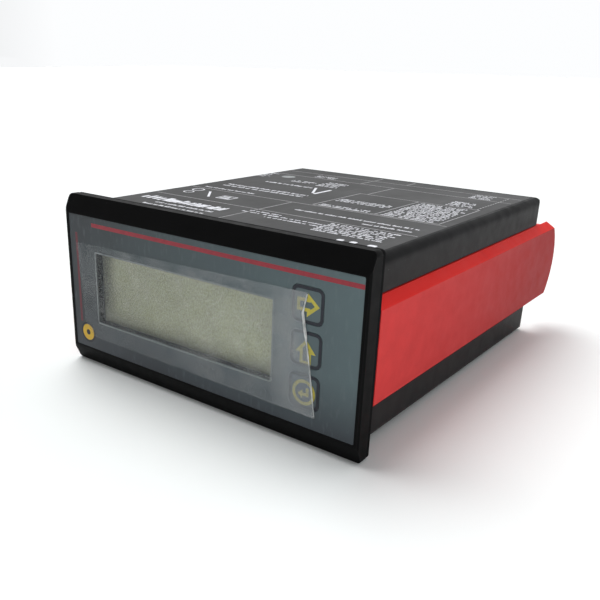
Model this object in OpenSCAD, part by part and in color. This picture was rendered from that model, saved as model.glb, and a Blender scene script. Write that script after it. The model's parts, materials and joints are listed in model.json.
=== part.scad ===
// Loop powered display meter for a panel cut-out, drawn in millimetres.
// Each sub-part is drawn in the instrument's own axes: x and z are measured from the
// middle of the front, x to the right and z up, and y from the bezel's front to the rear.
// in_place() then moves it so that the origin is the middle of the whole part's base.

/* [Bezel] */
// Width of the bezel
bezel_w = 96; // [94:0.5:110]
// Height of the bezel
bezel_h = 48; // [47:0.5:60]
// Thickness of the bezel's flange
bezel_t = 4; // [3.6:0.1:5]
// Radius of the bezel's corners
bezel_corner_r = 1.2; // [1:0.1:3]
// Depth and width of the bevel along the bezel's left and right front edges
bezel_bevel = 0.4; // [0.2:0.1:1]
// Height of the bezel's bars above and below the foil
bar_h = 5.1; // [3.5:0.1:6]
// Share of a bar's height that leans back towards its outer edge
lean_share = 0.9; // [0.4:0.05:0.95]
// How far a bar leans back at its outer edge
lean_d = 2; // [0.4:0.1:2.6]
// Width of the bezel's bars beside the foil
side_bar_w = 1.35; // [1.3:0.05:2]
// How far the foil lies below the bezel's front
foil_step = 0.15; // [0.05:0.05:0.4]
// Thickness of the bezel's wall behind the foil
front_wall_t = 1.85; // [1.7:0.05:2.6]
// How far the bezel stands out round the housing
flange_out = 2.3; // [2:0.1:3]
// Length of the bezel's collar inside the housing
collar_l = 8; // [6.6:0.1:12]
// Thickness of the collar's wall
collar_t = 1.2; // [0.8:0.1:1.3]
// Radius of the bosses that carry the display board
boss_r = 2; // [1.6:0.1:2.1]

/* [Panel gasket] */
// Thickness of the gasket
gasket_t = 1.2; // [0.8:0.1:2]
// How far the gasket's edge lies inside the bezel's edge
gasket_inset = 0.1; // [0.1:0.1:0.8]

/* [Front foil and film] */
// Thickness of the foil
foil_t = 0.4; // [0.2:0.05:0.6]
// Radius of the foil's corners
foil_corner_r = 0.4; // [0.3:0.1:2]
// Thickness of the protective film
film_t = 0.12; // [0.05:0.01:0.2]
// Height of the crease in the film
crease_h = 0.35; // [0.1:0.05:0.6]
// Width of the crease in the film
crease_w = 0.7; // [0.4:0.1:1.2]

/* [Window and display] */
// Distance from the foil's top edge to the window
window_top = 9.6; // [8.4:0.1:14]
// Distance from the window to the keys
window_to_keys = 5.25; // [4:0.05:12]
// Thickness of the window's plate behind the foil
pane_t = 1.5; // [1:0.1:1.6]
// How far the plate reaches behind the foil round the window
pane_border = 1.5; // [0.8:0.1:2]
// How far the display's front plate reaches past the window
lcd_border_x = 1.6; // [1.2:0.1:1.6]
// How far the display's front plate reaches past the window, up and down
lcd_border_z = 2.2; // [2:0.1:2.4]
// Thickness of each glass plate of the display
lcd_plate_t = 1.1; // [0.7:0.1:1.3]
// Thickness of the reflector sheet behind the glass
reflector_t = 0.2; // [0.1:0.05:0.4]
// Height of the contact ledges of the front plate
lcd_ledge_h = 1.8; // [1.6:0.1:2]
// Thickness of the rubber contact strips
zebra_t = 1.4; // [1:0.1:1.5]
// Thickness of the display holder's wall
holder_t = 1.2; // [0.8:0.1:1.2]
// Thickness of the display holder's front lip
holder_lip_t = 0.6; // [0.4:0.1:1]
// How far the lip reaches over the glass
holder_lip_w = 0.9; // [0.5:0.1:1.4]

/* [Keys] */
// Side of a key
key_w = 8.3; // [7:0.1:9]
// Gap between neighbouring keys
key_gap = 1.8; // [1.4:0.1:3]
// Distance from the bezel's collar to the keys
key_in = 2.2; // [1:0.1:4]
// Radius of a key's corners
key_corner_r = 1.6; // [0.6:0.1:2.5]
// How far a key is pushed in
key_travel = 0.4; // [0.2:0.05:0.5]
// How far the key's stop flange stands out
key_flange_w = 0.45; // [0.3:0.05:0.5]
// Thickness of the key's stop flange
key_flange_t = 0.6; // [0.4:0.05:0.7]
// Radius of the key's stem
key_stem_r = 1.5; // [1:0.1:2]
// Side of a switch's body
switch_w = 6.2; // [5:0.1:7]
// Depth of a switch's body
switch_t = 3.4; // [3:0.1:3.6]
// Radius of a switch's plunger
plunger_r = 1.7; // [1.2:0.1:2.2]
// How far the plunger stands out of the switch
plunger_out = 1; // [0.9:0.05:1.2]
// Free way between the key's flange, pushed in, and the plunger's end
key_free = 0.15; // [0.1:0.05:0.4]
// Length of the plunger inside the switch
plunger_in = 1.6; // [1:0.1:1.8]

/* [Circuit boards] */
// Thickness of the boards
board_t = 1.6; // [1:0.1:2]
// Distance from the window's ends to the display board's screws
screw_in = 2; // [0:0.1:6]
// How far the top of the main board lies below the middle
main_board_drop = 10.4; // [9.6:0.1:11]
// Radius of the display board's screws
screw_r = 0.95; // [0.8:0.05:1.1]
// Radius of those screws' heads
screw_head_r = 1.8; // [1.4:0.1:2]
// Height of those screws' heads
screw_head_h = 1.3; // [1:0.1:1.6]
// Number of pins between the boards
pin_count = 10; // [4:1:16]
// Distance between those pins
pin_pitch = 2.54; // [2:0.01:2.54]
// Side of those pins
pin_w = 0.6; // [0.4:0.05:0.8]
// Height and depth of the pin strip's body
strip_w = 2.5; // [2:0.1:3]
// Length of the pin socket
socket_l = 8.5; // [7:0.1:10]

/* [Housing] */
// Length of the housing behind the bezel
body_l = 104; // [90:1:130]
// Thickness of the housing's top and bottom walls
wall_t = 2; // [1.6:0.1:2.4]
// Thickness of the wall at the bottom of a clamp channel
channel_wall_t = 1.5; // [1:0.1:1.6]
// Height of a clamp channel
channel_h = 26.8; // [22:0.2:27.6]
// Depth of a clamp channel
channel_d = 3.4; // [3.4:0.1:3.8]
// Width of the undercut at the bottom of a channel
groove_w = 1.5; // [1.3:0.1:1.7]
// How far the undercut reaches up and down
groove_out = 1.6; // [1:0.1:1.8]
// Radius of the housing's long edges
body_edge_r = 2.2; // [0.6:0.1:2.2]
// Radius of the housing's rear corners
rear_corner_r = 2; // [1:0.1:3]
// Height of the ratchet's teeth
tooth_h = 0.8; // [0.4:0.1:0.9]
// Length of one ratchet tooth
tooth_pitch = 2.5; // [1.6:0.1:3.5]
// Width of the ratchet
ratchet_w = 6; // [4:0.5:8]
// Length of the ratchet, from the housing's rear
ratchet_l = 74; // [50:1:80]
// How far the board guides stand out
guide_d = 2.3; // [1.6:0.1:2.8]
// Thickness of the board guides
guide_t = 1.4; // [1:0.1:1.6]
// Thickness of the type label on the top
label_t = 0.15; // [0.1:0.05:0.3]
// Distance from the label to the housing's sides
label_side = 2.3; // [1.8:0.1:6]
// Distance from the label to the housing's ends
label_end = 3; // [2:0.5:10]

/* [Rear cover] */
// Thickness of the rear cover
cover_t = 2; // [1.5:0.1:3]
// How far the cover lies inside the housing's rear
cover_inset = 2; // [1.8:0.1:4]
// Radius of the cover's screws
cover_screw_r = 0.95; // [0.8:0.05:1.1]
// Radius of the cover screws' heads
cover_head_r = 2.1; // [1.6:0.1:2.1]
// Height of the cover screws' heads
cover_head_h = 1.5; // [1:0.1:1.7]
// Length of the cover screws below the head
cover_screw_l = 9; // [6:0.5:11]
// Radius of the screw bosses in the housing
cover_boss_r = 2.6; // [2.4:0.1:2.8]
// Length of the screw bosses
cover_boss_l = 10; // [9.5:0.5:14]

/* [Side clamps] */
// How far a clamp stands out of the housing's side
clamp_out = 2.3; // [1.6:0.1:2.3]
// Thickness of a clamp's outer plate
clamp_plate_t = 2.2; // [1.8:0.1:2.3]
// Thickness of a clamp's inner flanges
clamp_flange_t = 2; // [1.2:0.1:2.6]
// How far a clamp reaches past the housing's rear
clamp_tail = 14.2; // [8:0.1:20]
// Radius of a clamp's round end
clamp_end_r = 16.8; // [14:0.1:24]
// How far the flanges reach past the housing's rear
flange_tail = 2; // [0:0.5:6]
// Depth of the foot that bears on the panel
foot_l = 3; // [2:0.5:6]
// Length of a clamp's spring tongue
tongue_l = 48; // [30:1:60]
// Width of the tongue
tongue_w = 8; // [5:0.5:12]
// Thickness of the tongue
tongue_t = 1; // [0.6:0.1:1.2]
// Length of the tongue's root
tongue_root_l = 4; // [2:0.5:8]
// Length of the pawl
pawl_l = 3; // [2:0.5:4]
// Distance from the housing's rear to the pawl
pawl_in = 10; // [6:1:20]

/* [Terminals] */
// Number of terminals
pole_count = 4; // [2:1:8]
// Distance between the terminals
pole_pitch = 5.08; // [5:0.01:7.62]
// Length of the plug's part outside its socket
plug_l = 12; // [11.6:0.1:15]
// Length of the plug's nose
nose_l = 9.5; // [8:0.1:11]
// Height of the plug's nose
nose_h = 6.2; // [5:0.1:7]
// How far the nose lies above the plug's underside
nose_up = 2; // [1.6:0.1:2.4]
// Thickness of the plug's outer walls round the wire cages
plug_wall_t = 1; // [0.8:0.1:1.4]
// Thickness of the plug's wall between nose and cages
plug_front_wall_t = 1.5; // [1:0.1:2]
// Radius of a wire hole
wire_hole_r = 1.4; // [1:0.05:1.4]
// Length of a wire cage
cage_l = 5; // [4.2:0.1:5.6]
// Thickness of a wire cage's sides
cage_side_t = 0.45; // [0.3:0.05:0.6]
// Thickness of a wire cage's bottom
cage_floor_t = 0.8; // [0.5:0.1:1.2]
// Thickness of a wire cage's threaded top
cage_top_t = 1.6; // [1.2:0.1:2.2]
// How far a wire cage rises when its screw is tightened
cage_rise = 2.2; // [1.4:0.1:2.4]
// Radius of a clamping screw
clamp_screw_r = 1.25; // [1.05:0.05:1.4]
// Radius of a clamping screw's head
clamp_head_r = 1.9; // [1.6:0.05:2]
// Height of a clamping screw's head
clamp_head_h = 1.85; // [1.2:0.05:2.2]
// Width of the screw slots
slot_w = 0.5; // [0.3:0.05:0.7]
// Side of a terminal pin
terminal_pin_w = 1; // [0.8:0.05:1.1]
// Side of a plug contact's sleeve and width of its bar
contact_w = 2; // [1.8:0.05:2.1]
// Thickness of a plug contact's bar
bar_t = 0.8; // [0.5:0.05:1]
// Thickness of the terminal socket's walls
socket_wall_t = 1; // [0.8:0.1:1.4]
// Thickness of the terminal socket's rear wall
socket_back_t = 2.5; // [1.5:0.1:3.5]

/* [Hidden] */
$fn = 64;

// How far a cut runs past the face that it starts from
over = 0.5;
// Clearance round a piece that lies still in its pocket
seat_gap = 0.1;
// Clearance round a piece that is pushed or slid
slide_gap = 0.12;
// Radial clearance of a shaft in its hole
shaft_gap = 0.05;
// Clearance between a clamp and its channel
clamp_gap = 0.3;
// Clearance round the housing, its collar and its cover
case_gap = 0.2;
// How far the parts of one solid run into each other
weld = 0.2;

// Sizes of the housing and the foil
body_w = bezel_w - 2 * flange_out;
body_h = bezel_h - 2 * flange_out;
body_rear_y = bezel_t + body_l;
foil_w = bezel_w - 2 * side_bar_w;
foil_h = bezel_h - 2 * bar_h;

// Inside of the housing: a middle part between the channels, and wider parts beyond them
channel_x = body_w / 2 - channel_d;
cavity_x = channel_x - channel_wall_t;
cavity_z = body_h / 2 - wall_t;
wide_x = body_w / 2 - wall_t;
wide_z = channel_h / 2 + groove_out + wall_t;
collar_x = cavity_x - case_gap;
collar_z = cavity_z - case_gap;
collar_in_x = collar_x - collar_t;
collar_in_z = collar_z - collar_t;

// Distances from the front, through the bezel, the keys and the display
foil_y = foil_step;
wall_y = foil_y + foil_t;
wall_back_y = wall_y + front_wall_t;
key_back_y = wall_back_y + shaft_gap;
plunger_y = key_back_y + key_flange_t + key_travel + key_free;
switch_y = plunger_y + plunger_out;
display_board_y = switch_y + switch_t;
display_board_back_y = display_board_y + board_t;
lcd_y = wall_back_y + holder_lip_t;
collar_end_y = bezel_t + collar_l;

// Places of the keys and of the display board's screws
key_pitch = key_w + key_gap;
key_x = collar_in_x - key_in - key_w / 2;
boss_z = collar_in_z - max(boss_r, screw_head_r) - seat_gap;

// The window: its left and lower edges leave room for the display holder beside the collar
// and over the screw bosses
holder_out_x = lcd_border_x + seat_gap + holder_t;
holder_out_z = lcd_border_z + seat_gap + holder_t;
window_left_x = holder_out_x + case_gap - shaft_gap - collar_in_x;
window_right_x = key_x - key_w / 2 - window_to_keys;
window_low_z = boss_r + 2 * case_gap + holder_out_z - boss_z;
window_high_z = foil_h / 2 - window_top;
window_w = window_right_x - window_left_x;
window_h = window_high_z - window_low_z;
window_x = (window_left_x + window_right_x) / 2;
window_z = (window_low_z + window_high_z) / 2;
screw_span = window_w - 2 * screw_in;
lcd_w = window_w + 2 * lcd_border_x;
lcd_h = window_h + 2 * lcd_border_z;
lcd_rear_h = lcd_h - 2 * lcd_ledge_h;

// Places of the main board and of what joins it to the display board
main_z = -main_board_drop;
strip_body_y = display_board_back_y + strip_w;
main_y = max(collar_end_y, strip_body_y) + 2 * case_gap;
pin_z = main_z + strip_w / 2;
pin_end_y = main_y + socket_l - strip_w;
strip_l = pin_count * pin_pitch;

// Places of the rear cover and its screws
cover_y = body_rear_y - cover_inset - cover_t;
main_end_y = cover_y - case_gap;
cover_screw_x = cavity_x - cover_boss_r - case_gap;
cover_screw_z = cavity_z - cover_head_r - case_gap;

// Side clamps
clamp_x = body_w / 2 + clamp_out;
clamp_y = bezel_t + gasket_t + case_gap;
clamp_end_y = body_rear_y + clamp_tail;
clamp_half_h = channel_h / 2 - clamp_gap;
clamp_lip_x = channel_x + clamp_gap;
clamp_lip_t = groove_w - 2 * clamp_gap + case_gap;
clamp_lip_z = channel_h / 2 + groove_out - clamp_gap;
clamp_web_x = clamp_x - clamp_plate_t;
foot_x = channel_x + tooth_h + clamp_gap;
tongue_x = clamp_web_x - tongue_t - (clamp_web_x - tongue_t - foot_x) / 2;
tongue_y = body_rear_y + flange_tail - tongue_l;

// Terminal plug and its socket. Heights inside the plug are from its underside.
plug_w = pole_count * pole_pitch;
socket_in_w = plug_w + 2 * slide_gap;
socket_in_h = nose_h + 2 * slide_gap;
socket_w = socket_in_w + 2 * socket_wall_t;
socket_h = socket_in_h + 2 * socket_wall_t;
nose_z = main_z + socket_wall_t + slide_gap;
plug_z = nose_z - nose_up;
plug_y = body_rear_y + clamp_gap;
nose_y = plug_y - nose_l;
socket_y = nose_y - slide_gap - socket_back_t;
contact_up = nose_up + nose_h / 2;
cage_in_w = 2 * (clamp_screw_r + case_gap);
cage_w = cage_in_w + 2 * cage_side_t;
cage_up = plug_wall_t + seat_gap;
cage_window_up = cage_up + cage_floor_t;
cage_top_up = contact_up + bar_t / 2 + cage_rise + case_gap;
cage_h = cage_top_up + cage_top_t - cage_up;
chamber_top = cage_up + cage_h + cage_rise + case_gap;
screw_floor = chamber_top + plug_wall_t;
screw_tip = contact_up + bar_t / 2 + case_gap;
plug_h = screw_floor + clamp_head_h + shaft_gap + clamp_gap * 2;
chamber_y = plug_y + plug_front_wall_t;
chamber_l = cage_l + 2 * clamp_gap;
cage_y = chamber_y + clamp_gap;
screw_y = cage_y + cage_l / 2;
chamber_end_y = chamber_y + chamber_l;
plug_end_y = plug_y + plug_l;
wire_up = (cage_window_up + contact_up - bar_t / 2) / 2;
terminal_pin_out = nose_l * 3 / 4;
terminal_leg_y = socket_y - terminal_pin_w;

// The whole part's box, front to rear
front_out_y = min(0, foil_y - film_t - crease_h);
rear_out_y = max(clamp_end_y, plug_end_y);
mid_y = (front_out_y + rear_out_y) / 2;

// Corners of the protective film and points of its crease, as shares of the foil's half
// width and half height from the middle
film_shares = [[-0.955, 0.625], [0.705, 0.668], [0.782, -0.842], [-0.835, -0.81]];
crease_shares = [[0.71, 0.65], [0.692, 0.42], [0.728, 0.1], [0.735, -0.21], [0.775, -0.82]];

// Moves a sub-part from the instrument's own axes to the part's frame
module in_place() {
    translate([0, -mid_y, bezel_h / 2]) children();
}

// An outline drawn in x and z, between two distances from the front
module along_y(from, to) {
    translate([0, to, 0]) rotate([90, 0, 0]) linear_extrude(to - from) children();
}

// An outline drawn in y and z, between two places on x
module along_x(from, to) {
    translate([from, 0, 0]) rotate([90, 0, 90]) linear_extrude(to - from) children();
}

// An outline drawn in x and y, between two heights
module along_z(from, to) {
    translate([0, 0, from]) linear_extrude(to - from) children();
}

module round_rect(w, h, r) {
    square([w - 2 * r, h], center = true);
    square([w, h - 2 * r], center = true);
    for (x = [-1, 1], z = [-1, 1])
        translate([x * (w / 2 - r), z * (h / 2 - r)]) circle(r);
}

// A frame outline of one wall thickness
module ring_rect(w, h, t) {
    difference() {
        square([w, h], center = true);
        square([w - 2 * t, h - 2 * t], center = true);
    }
}

module at_window() {
    translate([window_x, window_z]) children();
}

// Children at the three keys, row 1 at the top
module at_key(row) {
    translate([key_x, (2 - row) * key_pitch]) children();
}

module at_display_screws() {
    for (x = [-1, 1], z = [-1, 1])
        translate([window_x + x * screw_span / 2, z * boss_z]) children();
}

module at_board_pins() {
    for (i = [0 : pin_count - 1])
        translate([(i - (pin_count - 1) / 2) * pin_pitch, pin_z]) children();
}

module at_cover_screws() {
    for (x = [-1, 1], z = [-1, 1])
        translate([x * cover_screw_x, z * cover_screw_z]) children();
}

module at_pole(pole) {
    translate([(pole - (pole_count + 1) / 2) * pole_pitch, 0, 0]) children();
}

module at_poles() {
    for (pole = [1 : pole_count]) at_pole(pole) children();
}

// Bezel: flange with sloping bars, pocket for the foil, wall with openings, collar and bosses
module bezel_flange() {
    intersection() {
        along_y(0, bezel_t) round_rect(bezel_w, bezel_h, bezel_corner_r);
        along_x(-bezel_w / 2, bezel_w / 2) slope_profile(bezel_h, lean_share * bar_h, lean_d);
        along_z(-bezel_h / 2, bezel_h / 2) mirror([1, -1])
            slope_profile(bezel_w, bezel_bevel, bezel_bevel);
    }
}

// Section of the flange, y first: its front falls back by d over the width w at each edge
module slope_profile(size, w, d) {
    polygon([[0, w - size / 2], [d, -size / 2], [bezel_t, -size / 2],
        [bezel_t, size / 2], [d, size / 2], [0, size / 2 - w]]);
}

module front_bezel() {
    color([0.1, 0.1, 0.11]) in_place() {
        difference() {
            bezel_flange();
            along_y(-over, wall_y)
                round_rect(foil_w + 2 * seat_gap, foil_h + 2 * seat_gap, foil_corner_r);
            along_y(foil_y, wall_y + pane_t) at_window()
                square([window_w, window_h] + 2 * (pane_border + seat_gap) * [1, 1], center = true);
            along_y(foil_y, wall_back_y + over) at_window() square([window_w, window_h], center = true);
            for (row = [1 : 3])
                along_y(foil_y, wall_back_y + over) at_key(row) key_outline(slide_gap);
            along_y(wall_back_y, bezel_t + over)
                square(2 * [collar_in_x, collar_in_z], center = true);
        }
        along_y(bezel_t, collar_end_y) ring_rect(2 * collar_x, 2 * collar_z, collar_t);
        difference() {
            along_y(wall_back_y, display_board_y) at_display_screws() circle(boss_r);
            along_y(wall_back_y + holder_lip_t, display_board_y + over)
                at_display_screws() circle(screw_r + shaft_gap);
        }
    }
}

module panel_gasket() {
    color([0.07, 0.07, 0.07]) in_place()
        along_y(bezel_t, bezel_t + gasket_t) difference() {
            round_rect(bezel_w - 2 * gasket_inset, bezel_h - 2 * gasket_inset,
                bezel_corner_r - gasket_inset);
            square([body_w + 2 * case_gap, body_h + 2 * case_gap], center = true);
        }
}

module key_outline(grow) {
    round_rect(key_w + 2 * grow, key_w + 2 * grow, key_corner_r + grow);
}

module front_foil() {
    color([0.3, 0.36, 0.38]) in_place()
        along_y(foil_y, wall_y) difference() {
            round_rect(foil_w, foil_h, foil_corner_r);
            at_window() square([window_w, window_h], center = true);
            for (row = [1 : 3]) at_key(row) key_outline(slide_gap);
        }
}

// Clear window: a plate behind the foil and a raised field in the foil's opening
module display_window() {
    color([0.85, 0.88, 0.85, 0.5]) in_place() {
        along_y(foil_y, wall_y) at_window()
            square([window_w, window_h] - 2 * seat_gap * [1, 1], center = true);
        along_y(wall_y, wall_y + pane_t) at_window()
            square([window_w, window_h] + 2 * pane_border * [1, 1], center = true);
    }
}

// A point given as shares of the foil's half width and half height
function on_foil(share) = [share[0] * foil_w / 2, share[1] * foil_h / 2];

module protective_film() {
    crease = [for (share = crease_shares) on_foil(share)];
    last = len(crease) - 1;
    left = [for (i = [0 : last]) crease[i] - [crease_w / 2, 0]];
    right = [for (i = [last : -1 : 0]) crease[i] + [crease_w / 2, 0]];
    color([0.9, 0.92, 0.94, 0.35]) in_place() {
        along_y(foil_y - film_t, foil_y) polygon([for (share = film_shares) on_foil(share)]);
        along_y(foil_y - film_t - crease_h, foil_y) polygon(concat(left, right));
    }
}

// Key: cap in the foil's opening, stop flange behind the bezel's wall, stem
module key_piece(row) {
    color([0.33, 0.38, 0.4]) in_place() {
        along_y(foil_y, key_back_y) at_key(row) key_outline(0);
        along_y(key_back_y, key_back_y + key_flange_t) at_key(row) key_outline(key_flange_w);
        along_y(key_back_y, plunger_y) at_key(row) circle(key_stem_r);
    }
}

module right_key() key_piece(1);
module up_key() key_piece(2);
module enter_key() key_piece(3);

module plunger_piece(row) {
    color([0.15, 0.15, 0.16]) in_place()
        along_y(plunger_y, switch_y + plunger_in) at_key(row) circle(plunger_r);
}

module right_plunger() plunger_piece(1);
module up_plunger() plunger_piece(2);
module enter_plunger() plunger_piece(3);

module key_switches() {
    color([0.55, 0.56, 0.58]) in_place()
        for (row = [1 : 3]) difference() {
            along_y(switch_y, display_board_y) at_key(row) square(switch_w, center = true);
            along_y(switch_y - over, switch_y + plunger_in + key_travel + case_gap)
                at_key(row) circle(plunger_r + shaft_gap);
        }
}

// Display: holder, two glass plates, reflector and two rubber contact strips
module display_holder() {
    pocket_w = lcd_w + 2 * seat_gap;
    pocket_h = lcd_h + 2 * seat_gap;
    color([0.16, 0.16, 0.17]) in_place() {
        along_y(lcd_y, display_board_y) at_window()
            ring_rect(pocket_w + 2 * holder_t, pocket_h + 2 * holder_t, holder_t);
        along_y(wall_back_y, lcd_y) at_window()
            ring_rect(pocket_w + 2 * holder_t, pocket_h + 2 * holder_t,
                holder_t + seat_gap + holder_lip_w);
    }
}

module lcd_front_plate() {
    color([0.62, 0.64, 0.55]) in_place()
        along_y(lcd_y, lcd_y + lcd_plate_t) at_window() square([lcd_w, lcd_h], center = true);
}

module lcd_rear_plate() {
    color([0.58, 0.6, 0.52]) in_place()
        along_y(lcd_y + lcd_plate_t, lcd_y + 2 * lcd_plate_t) at_window()
            square([lcd_w, lcd_rear_h], center = true);
}

module lcd_reflector() {
    back_y = lcd_y + 2 * lcd_plate_t;
    color([0.75, 0.76, 0.74]) in_place()
        along_y(back_y, back_y + reflector_t) at_window() square([lcd_w, lcd_rear_h], center = true);
}

module contact_strips() {
    color([0.85, 0.45, 0.5]) in_place()
        for (side = [-1, 1])
            along_y(lcd_y + lcd_plate_t, display_board_y) at_window()
                translate([0, side * (lcd_h - lcd_ledge_h) / 2]) square([window_w, zebra_t], center = true);
}

module display_board() {
    color([0.1, 0.35, 0.2]) in_place()
        difference() {
            along_y(display_board_y, display_board_back_y)
                square(2 * [collar_in_x - case_gap, collar_in_z - case_gap], center = true);
            along_y(display_board_y - over, display_board_back_y + over) {
                at_display_screws() circle(screw_r + case_gap);
                at_board_pins() square(pin_w + 2 * seat_gap, center = true);
            }
        }
}

module display_screws() {
    color([0.7, 0.7, 0.72]) in_place()
        difference() {
            union() {
                along_y(wall_back_y + holder_lip_t + seat_gap, display_board_back_y)
                    at_display_screws() circle(screw_r);
                along_y(display_board_back_y, display_board_back_y + screw_head_h)
                    at_display_screws() circle(screw_head_r);
            }
            along_y(display_board_back_y + screw_head_h / 2, display_board_back_y + screw_head_h + over)
                at_display_screws() square([3 * screw_head_r, slot_w], center = true);
        }
}

// Pins that join the display board to the main board
module pin_strip() {
    color([0.12, 0.12, 0.12]) in_place()
        difference() {
            along_y(display_board_back_y, strip_body_y)
                translate([0, pin_z]) square([strip_l, strip_w], center = true);
            along_y(display_board_back_y - over, strip_body_y + over)
                at_board_pins() square(pin_w + shaft_gap, center = true);
        }
}

module board_pins() {
    color([0.85, 0.68, 0.3]) in_place()
        along_y(display_board_y, pin_end_y) at_board_pins() square(pin_w, center = true);
}

module pin_socket() {
    color([0.12, 0.12, 0.12]) in_place()
        difference() {
            along_y(main_y, main_y + socket_l)
                translate([0, pin_z]) square([strip_l, strip_w], center = true);
            along_y(main_y - over, pin_end_y + seat_gap)
                at_board_pins() square(pin_w + 2 * seat_gap, center = true);
        }
}

// Main board in the housing's guides, with its parts
module main_board() {
    hole_w = terminal_pin_w + 2 * seat_gap;
    color([0.1, 0.38, 0.22]) in_place()
        difference() {
            along_z(main_z - board_t, main_z)
                translate([seat_gap - cavity_x, main_y])
                    square([2 * (cavity_x - seat_gap), main_end_y - main_y]);
            along_z(main_z - board_t - over, main_z + over) at_poles()
                translate([0, terminal_leg_y + terminal_pin_w / 2]) square(hole_w, center = true);
        }
}

// A place on the main board, given as shares of its width and length from its front left
function on_board(share) = [(2 * share[0] - 1) * cavity_x, main_y + share[1] * (main_end_y - main_y)];

// A row of small boxes standing on the main board
module board_boxes(share, shift, size, count, step) {
    in_place()
        translate(concat(on_board(share) + shift, main_z))
            for (i = [0 : count - 1]) translate([0, i * step, 0]) cube(size);
}

chip_share = [0.22, 0.33];
chip_size = [12, 12, 1.6];
chip_leg_size = [14, 0.4, 0.3];
chip_leg_count = 8;
chip_leg_pitch = 1.3;
chip_leg_inset = 1.25;

module control_chip() {
    color([0.08, 0.08, 0.08]) {
        board_boxes(chip_share, [0, 0], chip_size, 1, 0);
        board_boxes(chip_share, [(chip_size[0] - chip_leg_size[0]) / 2, chip_leg_inset],
            chip_leg_size, chip_leg_count, chip_leg_pitch);
    }
}

coupler_share = [0.17, 0.745];
coupler_size = [6.5, 4.6, 3.5];

module status_optocoupler() {
    color([0.9, 0.9, 0.88]) board_boxes(coupler_share, [0, 0], coupler_size, 1, 0);
}

capacitor_r = 3.15;
capacitor_h = 7.5;
capacitor_base_h = 1;
capacitor_share = [0.71, 0.68];
capacitor_pitch = 8;
capacitor_count = 2;

// Round cans on square bases
module storage_capacitors() {
    color([0.72, 0.73, 0.76]) {
        board_boxes(capacitor_share, -capacitor_r * [1, 1],
            [2 * capacitor_r, 2 * capacitor_r, capacitor_base_h], capacitor_count, capacitor_pitch);
        in_place() for (i = [0 : capacitor_count - 1])
            translate(concat(on_board(capacitor_share) + [0, i * capacitor_pitch], main_z))
                cylinder(capacitor_h, r = capacitor_r);
    }
}

diode_share = [0.615, 0.395];
diode_size = [4.6, 2.6, 2.2];
diode_count = 3;
diode_pitch = 4.4;

module zener_diodes() {
    color([0.1, 0.1, 0.1]) board_boxes(diode_share, [0, 0], diode_size, diode_count, diode_pitch);
}

resistor_share = [0.465, 0.305];
resistor_size = [2, 1.25, 0.5];
resistor_count = 9;
resistor_pitch = 2.6;

module chip_resistors() {
    color([0.18, 0.18, 0.2])
        board_boxes(resistor_share, [0, 0], resistor_size, resistor_count, resistor_pitch);
}

fuse_share = [0.81, 0.44];
fuse_size = [2.7, 6.1, 2.2];

module loop_fuse() {
    color([0.85, 0.85, 0.8]) board_boxes(fuse_share, [0, 0], fuse_size, 1, 0);
}

choke_share = [0.345, 0.635];
choke_w = 7.3;
choke_h = 4.5;
choke_r = 3;
choke_top_h = 4.9;

module filter_choke() {
    color([0.25, 0.25, 0.27]) {
        board_boxes(choke_share, -choke_w / 2 * [1, 1], [choke_w, choke_w, choke_h], 1, 0);
        in_place() translate(concat(on_board(choke_share), main_z)) cylinder(choke_top_h, r = choke_r);
    }
}

// Terminal socket on the main board, open to the rear, and its pins
module terminal_socket() {
    color([0.13, 0.42, 0.22]) in_place()
        difference() {
            along_y(socket_y, body_rear_y)
                translate([0, main_z + socket_h / 2]) square([socket_w, socket_h], center = true);
            along_y(socket_y + socket_back_t, body_rear_y + over)
                translate([0, main_z + socket_h / 2]) square([socket_in_w, socket_in_h], center = true);
            along_y(socket_y - over, body_rear_y) at_terminal_pins(2 * shaft_gap);
        }
}

// Outline of the terminal pins, grown by a clearance
module at_terminal_pins(grow) {
    for (pole = [1 : pole_count])
        translate([(pole - (pole_count + 1) / 2) * pole_pitch, plug_z + contact_up])
            square(terminal_pin_w + grow, center = true);
}

module terminal_pins() {
    pin_top = plug_z + contact_up + terminal_pin_w / 2;
    pin_foot = main_z - board_t - terminal_pin_w / 2;
    color([0.8, 0.8, 0.78]) in_place() {
        along_y(terminal_leg_y, nose_y + terminal_pin_out) at_terminal_pins(0);
        at_poles() translate([-terminal_pin_w / 2, terminal_leg_y, pin_foot])
            cube([terminal_pin_w, terminal_pin_w, pin_top - pin_foot]);
    }
}

// Terminal plug: nose, and a rear block with a chamber, a wire hole and a screw hole per pole
module terminal_plug() {
    tunnel_w = contact_w + 2 * seat_gap;
    chamber_w = cage_w + 2 * seat_gap;
    color([0.13, 0.5, 0.26]) in_place() translate([0, 0, plug_z])
        difference() {
            union() {
                translate([-plug_w / 2, plug_y, 0]) cube([plug_w, plug_l, plug_h]);
                translate([-plug_w / 2, nose_y, nose_up]) cube([plug_w, nose_l + over, nose_h]);
            }
            at_poles() {
                translate([-tunnel_w / 2, nose_y - over, contact_up - tunnel_w / 2])
                    cube([tunnel_w, chamber_y - nose_y + 2 * over, tunnel_w]);
                translate([-chamber_w / 2, chamber_y, plug_wall_t])
                    cube([chamber_w, chamber_l, chamber_top - plug_wall_t]);
                translate([0, plug_end_y + over, wire_up]) rotate([90, 0, 0])
                    cylinder(plug_end_y - chamber_end_y + 2 * over, r = wire_hole_r);
                translate([0, screw_y, chamber_top - over])
                    cylinder(plug_wall_t + 2 * over, r = clamp_screw_r + shaft_gap);
                translate([0, screw_y, screw_floor])
                    cylinder(plug_h, r = clamp_head_r + shaft_gap);
            }
        }
}

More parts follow.
